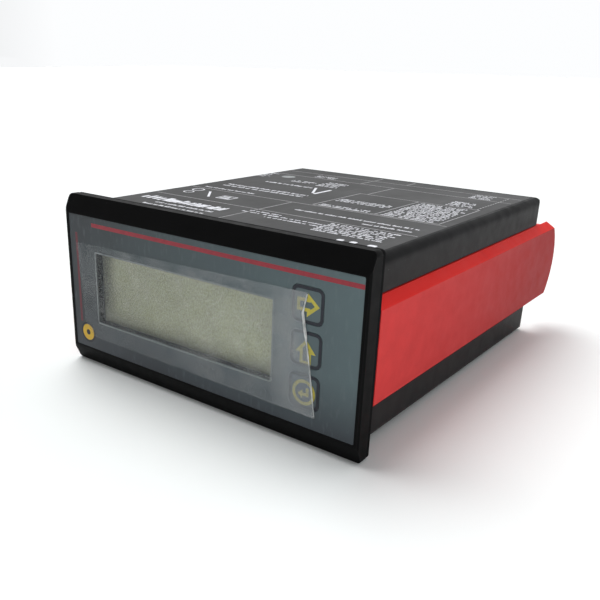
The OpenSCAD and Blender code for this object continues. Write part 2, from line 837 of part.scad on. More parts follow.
// Plug contacts: a sleeve for the pin in the nose and a bar through the wire cage
module plug_contacts() {
    sleeve_y = nose_y + seat_gap;
    sleeve_end_y = plug_y - seat_gap;
    bore_w = terminal_pin_w + 2 * seat_gap;
    color([0.82, 0.7, 0.35]) in_place() translate([0, 0, plug_z + contact_up])
        at_poles() {
            difference() {
                translate([-contact_w / 2, sleeve_y, -contact_w / 2])
                    cube([contact_w, sleeve_end_y - sleeve_y, contact_w]);
                translate([-bore_w / 2, sleeve_y - over, -bore_w / 2])
                    cube([bore_w, terminal_pin_out + over, bore_w]);
            }
            translate([-contact_w / 2, sleeve_end_y - over, -bar_t / 2])
                cube([contact_w, chamber_end_y - seat_gap - sleeve_end_y + over, bar_t]);
        }
}

// Clamping screw: shank through the cage's top, slotted head in the plug's top
module terminal_screw(pole) {
    head_up = screw_floor + shaft_gap;
    color([0.75, 0.76, 0.78]) in_place() at_pole(pole) translate([0, screw_y, plug_z])
        difference() {
            union() {
                translate([0, 0, screw_tip]) cylinder(head_up - screw_tip, r = clamp_screw_r);
                translate([0, 0, head_up]) cylinder(clamp_head_h, r = clamp_head_r);
            }
            translate([-2 * clamp_head_r, -slot_w / 2, head_up + clamp_head_h / 2])
                cube([4 * clamp_head_r, slot_w, clamp_head_h]);
        }
}

module terminal_screw_1() terminal_screw(1);
module terminal_screw_2() terminal_screw(2);
module terminal_screw_3() terminal_screw(3);
module terminal_screw_4() terminal_screw(4);

// Wire cage: a frame round the contact's bar, with the screw's hole in its top
module wire_cage(pole) {
    color([0.8, 0.66, 0.32]) in_place() at_pole(pole) translate([0, cage_y, plug_z])
        difference() {
            translate([-cage_w / 2, 0, cage_up]) cube([cage_w, cage_l, cage_h]);
            translate([-cage_in_w / 2, -over, cage_window_up])
                cube([cage_in_w, cage_l + 2 * over, cage_top_up - cage_window_up]);
            translate([0, cage_l / 2, cage_top_up - over])
                cylinder(cage_top_t + 2 * over, r = clamp_screw_r + shaft_gap);
        }
}

module wire_cage_1() wire_cage(1);
module wire_cage_2() wire_cage(2);
module wire_cage_3() wire_cage(3);
module wire_cage_4() wire_cage(4);

// Inside of the housing: the middle part and the wider parts, grown or shrunk by a clearance
module cavity_outline(grow) {
    square(2 * [cavity_x + grow, cavity_z + grow], center = true);
    for (side = [-1, 1])
        translate([0, side * (cavity_z + wide_z) / 2])
            square([2 * (wide_x + grow), cavity_z - wide_z + 2 * grow], center = true);
}

// Section of the housing, with a channel and its undercut on each side
module shell_outline() {
    difference() {
        round_rect(body_w, body_h, body_edge_r);
        cavity_outline(0);
        for (side = [0, 1]) mirror([side, 0]) {
            translate([channel_x, -channel_h / 2]) square([channel_d + over, channel_h]);
            translate([channel_x, -channel_h / 2 - groove_out]) square([groove_w, channel_h + 2 * groove_out]);
        }
    }
}

// Plan or side view of a block with rounded rear corners, y first
module rear_rounded(size) {
    translate([bezel_t, -size / 2]) square([body_l - rear_corner_r, size]);
    translate([bezel_t, rear_corner_r - size / 2]) square([body_l, size - 2 * rear_corner_r]);
    for (side = [-1, 1])
        translate([body_rear_y - rear_corner_r, side * (size / 2 - rear_corner_r)]) circle(rear_corner_r);
}

// Ratchet on the floor of a channel: a row of saw teeth
module ratchet() {
    count = floor(ratchet_l / tooth_pitch);
    start_y = body_rear_y - rear_corner_r - count * tooth_pitch;
    root_x = channel_x - channel_wall_t / 2;
    teeth = [for (i = [0 : count - 1], step = [0, 1])
        [channel_x + step * tooth_h, start_y + (i + step) * tooth_pitch]];
    along_z(-ratchet_w / 2, ratchet_w / 2)
        polygon(concat([[root_x, start_y]], teeth, [[root_x, start_y + count * tooth_pitch]]));
}

// Two guides that hold one edge of the main board
module board_guides() {
    for (z = [main_z + seat_gap, main_z - board_t - seat_gap - guide_t])
        translate([cavity_x - guide_d, main_y - seat_gap, z])
            cube([guide_d + channel_wall_t / 2, main_end_y - main_y, guide_t]);
}

module housing_shell() {
    color([0.13, 0.13, 0.14]) in_place() difference() {
        union() {
            intersection() {
                along_y(bezel_t, body_rear_y) shell_outline();
                along_z(-body_h / 2, body_h / 2) mirror([1, -1]) rear_rounded(body_w);
                along_x(-body_w / 2, body_w / 2) rear_rounded(body_h);
            }
            for (side = [0, 1]) mirror([side, 0, 0]) {
                ratchet();
                board_guides();
            }
            along_y(cover_y - cover_boss_l, cover_y) at_cover_screws() circle(cover_boss_r);
        }
        along_y(cover_y - cover_boss_l - over, cover_y + over)
            at_cover_screws() circle(cover_screw_r + shaft_gap);
        along_z(body_h / 2 - label_t, body_h / 2 + over) label_outline(seat_gap);
    }
}

module label_outline(grow) {
    w = body_w - 2 * label_side;
    translate([-w / 2 - grow, bezel_t + label_end - grow])
        square([w + 2 * grow, body_l - 2 * label_end + 2 * grow]);
}

module type_label() {
    color([0.3, 0.3, 0.31]) in_place() along_z(body_h / 2 - label_t, body_h / 2) label_outline(0);
}

module rear_cover() {
    color([0.12, 0.12, 0.13]) in_place()
        difference() {
            along_y(cover_y, cover_y + cover_t) cavity_outline(-case_gap);
            along_y(cover_y - over, cover_y + cover_t + over) {
                at_cover_screws() circle(cover_screw_r + case_gap);
                translate([0, main_z + socket_h / 2])
                    square([socket_w, socket_h] + 2 * case_gap * [1, 1], center = true);
            }
        }
}

module cover_screws() {
    cover_back_y = cover_y + cover_t;
    color([0.7, 0.7, 0.72]) in_place()
        difference() {
            union() {
                along_y(cover_back_y - cover_screw_l, cover_back_y) at_cover_screws() circle(cover_screw_r);
                along_y(cover_back_y, cover_back_y + cover_head_h) at_cover_screws() circle(cover_head_r);
            }
            along_y(cover_back_y + cover_head_h / 2, cover_back_y + cover_head_h + over)
                at_cover_screws() square([3 * cover_head_r, slot_w], center = true);
        }
}

// Outer plate of a clamp in section: bevelled along its upper and lower edges
module clamp_plate_outline() {
    bevel = clamp_x - clamp_web_x;
    polygon([[clamp_web_x, -clamp_half_h], [clamp_x, bevel - clamp_half_h],
        [clamp_x, clamp_half_h - bevel], [clamp_web_x, clamp_half_h]]);
}

// Flanges of a clamp in section, each with a lip that runs in the housing's undercut
module clamp_flange_outline() {
    for (side = [0, 1]) mirror([0, side]) {
        translate([clamp_lip_x, clamp_half_h - clamp_flange_t]) {
            square([clamp_web_x - clamp_lip_x, clamp_flange_t]);
            square([clamp_web_x - clamp_lip_x + weld, clamp_flange_t - weld]);
        }
        translate([clamp_lip_x, clamp_half_h - clamp_flange_t])
            square([clamp_lip_t, clamp_lip_z - clamp_half_h + clamp_flange_t]);
    }
}

// Side view of a clamp's plate, round at the rear
module clamp_side_outline() {
    end_x = clamp_end_y - clamp_end_r;
    intersection() {
        translate([clamp_y, -clamp_half_h]) square([clamp_end_y - clamp_y, 2 * clamp_half_h]);
        union() {
            translate([clamp_y, -clamp_half_h]) square([end_x - clamp_y, 2 * clamp_half_h]);
            translate([end_x, 0]) circle(clamp_end_r, $fn = 180);
        }
    }
}

module clamp_piece() {
    flange_end_y = body_rear_y + flange_tail;
    pawl_y = body_rear_y - pawl_in;
    color([0.75, 0.18, 0.18]) in_place() {
        intersection() {
            along_y(clamp_y, clamp_end_y) clamp_plate_outline();
            along_x(clamp_web_x - over, clamp_x + over) clamp_side_outline();
        }
        along_y(clamp_y, flange_end_y) clamp_flange_outline();
        along_y(clamp_y, clamp_y + foot_l) translate([foot_x, clamp_flange_t - clamp_half_h - over])
            square([clamp_web_x - foot_x + weld, 2 * (clamp_half_h - clamp_flange_t + over)]);
        translate([tongue_x, tongue_y, -tongue_w / 2]) cube([tongue_t, tongue_l, tongue_w]);
        translate([tongue_x, tongue_y, -tongue_w / 2])
            cube([clamp_web_x - tongue_x + weld, tongue_root_l, tongue_w]);
        along_z(-ratchet_w / 2, ratchet_w / 2)
            polygon([[tongue_x + weld, pawl_y], [tongue_x, pawl_y], [foot_x, pawl_y + pawl_l],
                [tongue_x + weld, pawl_y + pawl_l]]);
    }
}

module right_clamp() clamp_piece();
module left_clamp() mirror([1, 0, 0]) clamp_piece();

front_bezel();
front_foil();
display_window();
protective_film();
right_key();
up_key();
enter_key();
right_plunger();
up_plunger();
enter_plunger();
key_switches();
display_holder();
lcd_front_plate();
lcd_rear_plate();
lcd_reflector();
contact_strips();
display_board();
display_screws();
pin_strip();
board_pins();
pin_socket();
main_board();
control_chip();
status_optocoupler();
storage_capacitors();
zener_diodes();
chip_resistors();
loop_fuse();
filter_choke();
terminal_socket();
terminal_pins();
terminal_plug();
plug_contacts();
terminal_screw_1();
terminal_screw_2();
terminal_screw_3();
terminal_screw_4();
wire_cage_1();
wire_cage_2();
wire_cage_3();
wire_cage_4();
housing_shell();
rear_cover();
cover_screws();
panel_gasket();
right_clamp();
left_clamp();
type_label();
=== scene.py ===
import json
import math
import random

import bmesh
import bpy
from mathutils import Matrix, Vector


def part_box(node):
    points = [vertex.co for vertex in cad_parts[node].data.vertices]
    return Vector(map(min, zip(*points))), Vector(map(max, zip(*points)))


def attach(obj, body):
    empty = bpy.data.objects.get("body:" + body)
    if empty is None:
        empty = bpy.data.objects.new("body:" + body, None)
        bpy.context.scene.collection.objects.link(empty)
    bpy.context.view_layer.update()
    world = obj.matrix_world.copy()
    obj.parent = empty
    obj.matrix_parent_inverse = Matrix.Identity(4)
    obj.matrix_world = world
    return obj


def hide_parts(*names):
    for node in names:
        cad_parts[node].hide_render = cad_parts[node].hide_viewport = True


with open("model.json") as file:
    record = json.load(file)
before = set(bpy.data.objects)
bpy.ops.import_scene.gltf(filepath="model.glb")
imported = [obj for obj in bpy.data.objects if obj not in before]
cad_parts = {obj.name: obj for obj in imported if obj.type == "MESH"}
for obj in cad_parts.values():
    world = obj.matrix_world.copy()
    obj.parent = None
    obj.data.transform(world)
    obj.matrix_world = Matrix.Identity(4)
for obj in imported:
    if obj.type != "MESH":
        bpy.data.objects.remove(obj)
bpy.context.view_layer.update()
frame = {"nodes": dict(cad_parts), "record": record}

MM = 0.001
RECORD = frame["record"]
BODY_OF = {node: body for body, nodes in RECORD["behaviour"]["bodies"].items() for node in nodes}
SLOT_OF = {part["node"]: part["material_slot"] for part in RECORD["subparts"]}

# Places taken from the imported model, in metres
BEZEL_LOW, BEZEL_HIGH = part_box("front_bezel")
FOIL_LOW, FOIL_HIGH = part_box("front_foil")
WINDOW_LOW, WINDOW_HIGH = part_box("display_window")
GLASS_LOW, GLASS_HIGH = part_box("lcd_front_plate")
SHELL_LOW, SHELL_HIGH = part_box("housing_shell")
LABEL_LOW, LABEL_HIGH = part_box("type_label")
COVER_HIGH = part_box("rear_cover")[1]
PLUG_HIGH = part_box("terminal_plug")[1]
FRONT_Y = BEZEL_LOW.y
FOIL_Y = FOIL_LOW.y
MID_Z = (BEZEL_LOW.z + BEZEL_HIGH.z) / 2
# How far the bezel's lower bar falls back at its edge
BAR_LEAN = 2 * MM
# How far print stands out of the face that it lies on, and how deep it starts in it
PRINT_T = 0.015 * MM
PRINT_SINK = 0.01 * MM
# The clear pane reaches this far behind the foil, all round the foil's opening
PANE_BORDER = 1.5 * MM
OPEN_LOW = Vector((WINDOW_LOW.x + PANE_BORDER, FOIL_Y, WINDOW_LOW.z + PANE_BORDER))
OPEN_HIGH = Vector((WINDOW_HIGH.x - PANE_BORDER, FOIL_Y, WINDOW_HIGH.z - PANE_BORDER))


# Materials

class Look:
    """A material made of one Principled shader and the nodes that feed it."""

    def __init__(self, name, **uniform):
        self.material = bpy.data.materials.new(name)
        self.material.use_nodes = True
        self.tree = self.material.node_tree
        self.shader = self.tree.nodes["Principled BSDF"]
        self.coords = self.tree.nodes.new("ShaderNodeTexCoord").outputs["Object"]
        for socket, value in uniform.items():
            self.shader.inputs[socket.replace("_", " ")].default_value = value

    def add(self, kind, *inputs, **settings):
        """A node with its settings, and values or links for its first inputs."""
        node = self.tree.nodes.new("ShaderNode" + kind)
        for name, value in settings.items():
            setattr(node, name, value)
        for index, value in enumerate(inputs):
            if value is not None:
                self.put(node.inputs[index], value)
        return node

    def put(self, socket, value):
        """A plain value or a link for a socket."""
        if isinstance(value, bpy.types.NodeSocket):
            self.tree.links.new(value, socket)
        else:
            socket.default_value = value

    def math(self, operation, *values):
        return self.add("Math", *values, operation=operation).outputs[0]

    def noise(self, size_mm, detail, stretch=(1, 1, 1), shift=(0, 0, 0)):
        """Noise with features of that size, squeezed along each axis by the stretch."""
        place = self.add("Mapping", self.coords)
        place.inputs["Location"].default_value = shift
        place.inputs["Scale"].default_value = [s / (size_mm * MM) for s in stretch]
        texture = self.add("TexNoise", place.outputs[0])
        texture.inputs["Scale"].default_value = 1.0
        texture.inputs["Detail"].default_value = detail
        texture.inputs["Roughness"].default_value = 0.55
        return texture.outputs[0]

    def cells(self, spacing_mm):
        """Distance to scattered points that lie about that far apart."""
        place = self.add("Mapping", self.coords)
        texture = self.add("TexVoronoi", place.outputs[0])
        texture.inputs["Scale"].default_value = 1 / (spacing_mm * MM)
        return texture.outputs["Distance"]

    def spread(self, value, low, high, to_low=0.0, to_high=1.0):
        """The value from low to high, turned into to_low to to_high and kept between them."""
        return self.add("MapRange", value, low, high, to_low, to_high).outputs[0]

    def blend(self, share, first, second):
        """From the first colour at share 0 to the second at share 1."""
        node = self.add("Mix", data_type="RGBA")
        self.put(node.inputs[0], share)
        self.put(node.inputs[6], first)
        self.put(node.inputs[7], second)
        return node.outputs[2]

    def axis(self, name):
        """The place along X, Y or Z, in metres."""
        return self.add("SeparateXYZ", self.coords).outputs[name]

    def bump(self, height, depth_mm):
        """Relief as deep as that where the height goes from 0 to 1."""
        node = self.add("Bump")
        node.inputs["Strength"].default_value = 1.0
        node.inputs["Distance"].default_value = depth_mm * MM
        self.put(node.inputs["Height"], height)
        self.put(self.shader.inputs["Normal"], node.outputs[0])

    def scratches(self, width_mm, stretch, shift):
        """Long faint scratches: 0.4 along them and zero between them."""
        lines = self.noise(size_mm=width_mm, detail=2, stretch=stretch, shift=shift)
        return self.spread(lines, 0.66, 0.74, 0.0, 0.4)

    def edges(self, radius_mm, strength):
        """The strength along the edges and zero on flat faces."""
        soft = self.add("Bevel", samples=4)
        soft.inputs["Radius"].default_value = radius_mm * MM
        normal = self.add("NewGeometry").outputs["Normal"]
        dot = self.add("VectorMath", soft.outputs[0], normal, operation="DOT_PRODUCT").outputs["Value"]
        return self.spread(self.math("SUBTRACT", 1.0, dot), 0.01, 0.2, 0.0, strength)

    def color(self, value):
        self.put(self.shader.inputs["Base Color"], value)

    def rough(self, value):
        self.put(self.shader.inputs["Roughness"], value)


def rgb(red, green, blue):
    return (red, green, blue, 1.0)


def moulded_plastic(name, base, worn, dust, roughness, grain_mm=0.28, grain_depth_mm=0.012, gloss=0.25):
    """Moulded plastic: fine spark-eroded grain, soft flow marks, handling gloss and paler edges."""
    look = Look(name, Specular_IOR_Level=gloss)
    flow = look.noise(size_mm=14, detail=4, stretch=(1, 0.35, 1))
    patch = look.noise(size_mm=3.2, detail=3, shift=(3, 1, 2))
    grain = look.noise(size_mm=grain_mm, detail=2)
    darker = [0.82 * channel for channel in base[:3]] + [1.0]
    tone = look.blend(look.spread(flow, 0.35, 0.68), base, darker)
    tone = look.blend(look.edges(radius_mm=0.45, strength=0.5), tone, worn)
    specks = look.spread(look.cells(spacing_mm=1.9), 0.05, 0.028)
    settled = look.math("MULTIPLY", specks, look.spread(patch, 0.5, 0.62))
    look.color(look.blend(look.math("MULTIPLY", settled, 0.55), tone, dust))
    matt = look.spread(patch, 0.3, 0.7, roughness - 0.05, roughness + 0.07)
    look.rough(look.math("SUBTRACT", matt, look.edges(radius_mm=0.3, strength=0.1)))
    scratch = look.scratches(width_mm=0.5, stretch=(1, 0.04, 0.3), shift=(5, 0, 0))
    look.bump(look.math("SUBTRACT", grain, scratch), grain_depth_mm)
    return look.material


def housing_plastic():
    """Black walls, with painted shade: darker along the rounded upper edge and a little greyer below it,
    as the photo shows them.
    """
    wall = rgb(0.028, 0.027, 0.027)
    painted_shade_upper_edge = rgb(0.0052, 0.0052, 0.0056)
    flow_mark = rgb(0.017, 0.017, 0.018)
    worn = rgb(0.06, 0.06, 0.062)
    dust = rgb(0.17, 0.17, 0.165)
    look = Look("housing_plastic", Specular_IOR_Level=0.04)
    flow = look.noise(size_mm=16, detail=4, stretch=(1, 0.3, 1))
    grain = look.noise(size_mm=0.3, detail=2)
    patch = look.noise(size_mm=4, detail=3, shift=(2, 4, 1))
    # Painted shade: a darker band just under the rounded upper edge.
    step = look.spread(look.axis("Z"), SHELL_HIGH.z - 2.9 * MM, SHELL_HIGH.z - 1.6 * MM)
    tone = look.blend(step, wall, painted_shade_upper_edge)
    tone = look.blend(look.spread(flow, 0.35, 0.7, 0.0, 0.5), tone, flow_mark)
    tone = look.blend(look.edges(radius_mm=0.5, strength=0.35), tone, worn)
    specks = look.spread(look.cells(spacing_mm=2.3), 0.05, 0.03)
    settled = look.math("MULTIPLY", specks, look.spread(patch, 0.5, 0.6))
    look.color(look.blend(look.math("MULTIPLY", settled, 0.5), tone, dust))
    look.rough(look.spread(patch, 0.3, 0.7, 0.38, 0.5))
    scratch = look.scratches(width_mm=0.6, stretch=(1, 0.05, 0.4), shift=(1, 7, 0))
    look.bump(look.math("SUBTRACT", grain, scratch), depth_mm=0.012)
    return look.material


def clamp_plastic():
    """Red glass-filled plastic: matt and mottled, with painted shade that dims it to the rear, painted
    light that brightens upward slopes, and a painted highlight along edges.
    """
    red = rgb(0.73, 0.050, 0.049)
    mottled = rgb(0.66, 0.050, 0.050)
    fibre_red = rgb(0.64, 0.07, 0.07)
    painted_rear_shade_red = rgb(0.37, 0.026, 0.027)
    painted_slope_light_red = rgb(0.78, 0.024, 0.020)
    painted_edge_highlight_red = rgb(0.85, 0.045, 0.04)
    dark_red = rgb(0.48, 0.032, 0.036)
    look = Look("clamp_plastic", Specular_IOR_Level=0.05)
    mottle = look.noise(size_mm=4.5, detail=5)
    fibre = look.noise(size_mm=0.6, detail=3, stretch=(1, 0.18, 1), shift=(4, 0, 2))
    tone = look.blend(look.spread(mottle, 0.34, 0.68), red, mottled)
    tone = look.blend(look.spread(fibre, 0.6, 0.72, 0.0, 0.1), tone, fibre_red)
    # Painted shade: darker towards the rear.
    tone = look.blend(look.spread(look.axis("Y"), FRONT_Y, SHELL_HIGH.y), tone, painted_rear_shade_red)
    # Painted light: faces that slope upwards, such as the top chamfer, are brighter and redder.
    normal = look.add("NewGeometry").outputs["True Normal"]
    slope = look.math("ABSOLUTE", look.add("SeparateXYZ", normal).outputs["Z"])
    tone = look.blend(look.spread(slope, 0.1, 0.4), tone, painted_slope_light_red)
    # Painted highlight: brighter red along the edges.
    tone = look.blend(look.edges(radius_mm=0.45, strength=0.6), tone, painted_edge_highlight_red)
    dark = look.spread(look.noise(size_mm=9, detail=4, shift=(7, 2, 0)), 0.58, 0.76, 0.0, 0.22)
    look.color(look.blend(dark, tone, dark_red))
    look.rough(look.spread(mottle, 0.3, 0.7, 0.42, 0.56))
    look.bump(look.noise(size_mm=0.32, detail=2), depth_mm=0.014)
    return look.material


def foil_print():
    """Slate-grey printed foil: fine lacquer texture, slow change of tone, and painted light: darker low
    and to the left, lighter to the right.
    """
    shaded_left_tone = rgb(0.020, 0.022, 0.026)
    reflecting_right_tone = rgb(0.104, 0.150, 0.160)
    painted_low_shade_tone = rgb(0.034, 0.040, 0.050)
    drift_tone = rgb(0.075, 0.095, 0.110)
    rubbed_tone = rgb(0.2, 0.24, 0.26)
    look = Look("foil_print", Specular_IOR_Level=0.3)
    drift = look.noise(size_mm=26, detail=3)
    across = look.spread(look.axis("X"), FOIL_LOW.x, FOIL_HIGH.x)
    height = look.spread(look.axis("Z"), FOIL_LOW.z, FOIL_LOW.z + 14 * MM)
    # Painted light: darker to the left and lighter to the right, as a reflection across the foil.
    tone = look.blend(across, shaded_left_tone, reflecting_right_tone)
    # Painted shade: darker towards the bottom.
    tone = look.blend(look.math("SUBTRACT", 1.0, height), tone, painted_low_shade_tone)
    tone = look.blend(look.spread(drift, 0.35, 0.7, 0.0, 0.4), tone, drift_tone)
    rubbed = look.spread(look.noise(size_mm=1.1, detail=3, stretch=(1, 1, 0.3)), 0.56, 0.72, 0.0, 0.12)
    look.color(look.blend(rubbed, tone, rubbed_tone))
    look.rough(look.spread(drift, 0.3, 0.7, 0.34, 0.44))
    look.bump(look.noise(size_mm=0.16, detail=2), depth_mm=0.004)
    return look.material


def ink(name, base, second):
    """Screen-printed ink with a slightly uneven film."""
    look = Look(name, Specular_IOR_Level=0.3)
    patch = look.noise(size_mm=0.9, detail=3)
    look.color(look.blend(look.spread(patch, 0.35, 0.68), base, second))
    look.rough(look.spread(patch, 0.3, 0.7, 0.37, 0.48))
    look.bump(look.noise(size_mm=0.12, detail=2), depth_mm=0.003)
    return look.material


def window_clear():
    """Clear cover over the display: mostly see-through, with fine haze and hairline rubs."""
    look = Look("window_clear", Base_Color=rgb(0.30, 0.31, 0.29), Specular_IOR_Level=0.4)
    haze = look.spread(look.noise(size_mm=7, detail=4), 0.35, 0.7, 0.03, 0.08)
    hairline = look.noise(size_mm=0.35, detail=2, stretch=(0.06, 1, 1), shift=(2, 0, 5))
    rub = look.spread(hairline, 0.64, 0.72, 0.0, 0.1)
    look.put(look.shader.inputs["Alpha"], look.math("ADD", haze, rub))
    look.rough(look.spread(look.noise(size_mm=3, detail=3), 0.3, 0.7, 0.08, 0.2))
    return look.material


def slanting_brush(look, size_mm, degrees, stretch_z):
    """Noise drawn out along a line that slants in the display's plane."""
    slant = look.add("Mapping", look.coords)
    scale = 1 / (size_mm * MM)
    slant.inputs["Rotation"].default_value = (0, math.radians(degrees), 0)
    slant.inputs["Scale"].default_value = (scale, scale, stretch_z * scale)
    brush = look.add("TexNoise", slant.outputs[0])
    brush.inputs["Scale"].default_value = 1.0
    brush.inputs["Detail"].default_value = 3.0
    return brush.outputs[0]


def lcd_glass():
    """Greenish display glass: khaki ground, slanting brushed texture, and painted shade: darker towards
    the left, a dark band at its left edge and a darker strip along the bottom.
    """
    shaded_left_khaki = rgb(0.440, 0.450, 0.288)
    right_khaki = rgb(0.800, 0.830, 0.530)
    left_shade = rgb(0.115, 0.108, 0.088)
    low_shade = rgb(0.38, 0.38, 0.255)
    mottle_tone = rgb(0.35, 0.36, 0.240)
    brush_tone = rgb(0.27, 0.275, 0.185)
    speckle_tone = rgb(0.66, 0.68, 0.50)
    look = Look("lcd_glass", Specular_IOR_Level=0.3)
    brushed = slanting_brush(look, size_mm=0.3, degrees=24, stretch_z=0.4)
    mottle = look.noise(size_mm=9, detail=5, shift=(1, 0, 8))
    speckle = look.noise(size_mm=0.42, detail=2, shift=(9, 0, 3))
    # Painted shade: a dark band at the left edge, as the shadow of the window's wall, darker glass
    # towards the left, and a darker strip along the bottom.
    past_shade = look.spread(look.axis("X"), GLASS_LOW.x + 2.4 * MM, GLASS_LOW.x + 6.5 * MM)
    across = look.spread(look.axis("X"), GLASS_LOW.x + 6 * MM, GLASS_HIGH.x)
    above_shade = look.spread(look.axis("Z"), GLASS_LOW.z + 1.5 * MM, GLASS_LOW.z + 7 * MM)
    tone = look.blend(across, shaded_left_khaki, right_khaki)
    tone = look.blend(past_shade, left_shade, tone)
    tone = look.blend(above_shade, low_shade, tone)
    tone = look.blend(look.spread(mottle, 0.4, 0.7, 0.0, 0.3), tone, mottle_tone)
    tone = look.blend(look.spread(brushed, 0.4, 0.65, 0.0, 0.5), tone, brush_tone)
    look.color(look.blend(look.spread(speckle, 0.5, 0.62, 0.0, 0.6), tone, speckle_tone))
    look.rough(look.spread(mottle, 0.3, 0.7, 0.3, 0.42))
    look.bump(brushed, depth_mm=0.004)
    return look.material


def film_clear():
    """Used protective film: milky haze with dust specks, thickest beside its crease."""
    haze_tone = rgb(0.44, 0.48, 0.51)
    cloud_tone = rgb(0.56, 0.58, 0.58)
    look = Look("film_clear", Specular_IOR_Level=0.3)
    cloud = look.noise(size_mm=6.5, detail=5)
    dust = look.spread(look.cells(spacing_mm=0.95), 0.16, 0.07)
    fluff = look.noise(size_mm=0.32, detail=2, stretch=(1, 1, 0.5), shift=(4, 0, 1))
    lint = look.spread(fluff, 0.5, 0.66)
    place = look.axis("X")
    near_crease = look.spread(place, 23.0 * MM, 27.5 * MM, 0.0, 0.15)
    haze = look.spread(cloud, 0.3, 0.72, 0.04, 0.17)
    haze = look.math("MULTIPLY", haze, look.spread(place, FOIL_LOW.x, 20 * MM, 0.45, 1.0))
    alpha = look.math("ADD", haze, near_crease)
    alpha = look.math("ADD", alpha, look.math("MULTIPLY", dust, 0.14))
    alpha = look.math("ADD", alpha, look.math("MULTIPLY", lint, 0.09))
    look.put(look.shader.inputs["Alpha"], alpha)
    look.color(look.blend(look.spread(cloud, 0.35, 0.7), haze_tone, cloud_tone))
    look.rough(look.spread(cloud, 0.3, 0.7, 0.25, 0.45))
    look.bump(look.noise(size_mm=2.4, detail=3), depth_mm=0.03)
    return look.material


def crease_white():
    """The creased edge of the film, nearly opaque where the sheet is bent double."""
    look = Look("crease_white", Specular_IOR_Level=0.6)
    patch = look.noise(size_mm=1.3, detail=4, stretch=(1, 1, 0.5))
    look.color(look.blend(look.spread(patch, 0.35, 0.7), rgb(0.62, 0.63, 0.62), rgb(0.80, 0.80, 0.78)))
    look.put(look.shader.inputs["Alpha"], look.spread(patch, 0.3, 0.65, 0.42, 0.85))
    look.rough(look.spread(patch, 0.3, 0.7, 0.25, 0.4))
    look.bump(patch, depth_mm=0.04)
    return look.material


def label_print():
    """Dark grey type label: satin laminate with slight orange peel, long faint rubs, and a painted
    reflection that makes it lighter to the right.
    """
    shaded_left_tone = rgb(0.009, 0.009, 0.009)
    reflecting_right_tone = rgb(0.036, 0.036, 0.037)
    drift_tone = rgb(0.031, 0.031, 0.031)
    rub_tone = rgb(0.12, 0.12, 0.12)
    look = Look("label_print", Specular_IOR_Level=0.1)
    drift = look.noise(size_mm=20, detail=4)
    peel = look.noise(size_mm=1.2, detail=2)
    fine = look.noise(size_mm=0.2, detail=2)
    rub = look.spread(look.noise(size_mm=0.5, detail=3, stretch=(1, 0.05, 1)), 0.58, 0.7, 0.0, 0.2)
    # Painted reflection: darker to the left, lighter to the right.
    tone = look.blend(look.spread(look.axis("X"), LABEL_LOW.x, LABEL_HIGH.x), shaded_left_tone, reflecting_right_tone)
    tone = look.blend(look.spread(drift, 0.35, 0.7, 0.0, 0.4), tone, drift_tone)
    look.color(look.blend(rub, tone, rub_tone))
    look.rough(look.spread(drift, 0.3, 0.7, 0.40, 0.5))
    look.bump(look.math("ADD", peel, look.math("MULTIPLY", fine, 0.3)), depth_mm=0.006)
    return look.material


def bare_metal(name, base, dark, roughness, tarnish):
    """Plated or drawn metal with fine lines, tarnish and brighter edges."""
    look = Look(name, Metallic=1.0)
    line = look.noise(size_mm=0.18, detail=3, stretch=(0.15, 1, 1))
    stain = look.noise(size_mm=1.4, detail=4, shift=(2, 5, 1))
    bright = [min(1.0, 1.25 * channel) for channel in base[:3]] + [1.0]
    tone = look.blend(look.spread(stain, 0.4, 0.7, 0.0, tarnish), base, dark)
    look.color(look.blend(look.edges(radius_mm=0.15, strength=0.6), tone, bright))
    look.rough(look.spread(line, 0.3, 0.7, roughness - 0.07, roughness + 0.1))
    look.bump(line, depth_mm=0.004)
    return look.material


def board_laminate():
    """Green circuit board: solder mask over a copper pattern of fine tracks and a glass weave."""
    look = Look("board_laminate", Coat_Weight=0.35, Coat_Roughness=0.18)
    weave = look.noise(size_mm=0.5, detail=2, stretch=(1, 0.3, 1))
    tracks = look.add("TexBrick", look.coords)
    tracks.inputs["Scale"].default_value = 1 / (3.4 * MM)
    tracks.inputs["Mortar Size"].default_value = 0.07
    tracks.inputs["Color1"].default_value = rgb(0.008, 0.085, 0.03)
    tracks.inputs["Color2"].default_value = rgb(0.010, 0.10, 0.036)
    tracks.inputs["Mortar"].default_value = rgb(0.028, 0.17, 0.062)
    weave_share = look.spread(weave, 0.4, 0.7, 0.0, 0.35)
    look.color(look.blend(weave_share, tracks.outputs["Color"], rgb(0.006, 0.06, 0.022)))
    look.rough(look.spread(weave, 0.3, 0.7, 0.3, 0.42))
    look.bump(tracks.outputs["Fac"], depth_mm=0.03)
    return look.material


# Moulded plastics: base, worn edges, settled dust, and how they differ from the usual finish
PLASTICS = {
    "bezel_plastic": (rgb(0.0046, 0.0046, 0.0048), rgb(0.022, 0.022, 0.023), rgb(0.10, 0.10, 0.097),
                      {"roughness": 0.5, "gloss": 0.045}),
    "cover_plastic": (rgb(0.019, 0.019, 0.02), rgb(0.055, 0.055, 0.056), rgb(0.17, 0.17, 0.16),
                      {"roughness": 0.46}),
    "gasket_rubber": (rgb(0.0045, 0.0045, 0.005), rgb(0.009, 0.009, 0.0095), rgb(0.07, 0.07, 0.067),
                      {"roughness": 0.75, "grain_mm": 0.45, "grain_depth_mm": 0.03, "gloss": 0.05}),
    "terminal_plastic": (rgb(0.008, 0.125, 0.04), rgb(0.03, 0.21, 0.09), rgb(0.2, 0.24, 0.2),
                         {"roughness": 0.4, "grain_mm": 0.24}),
}
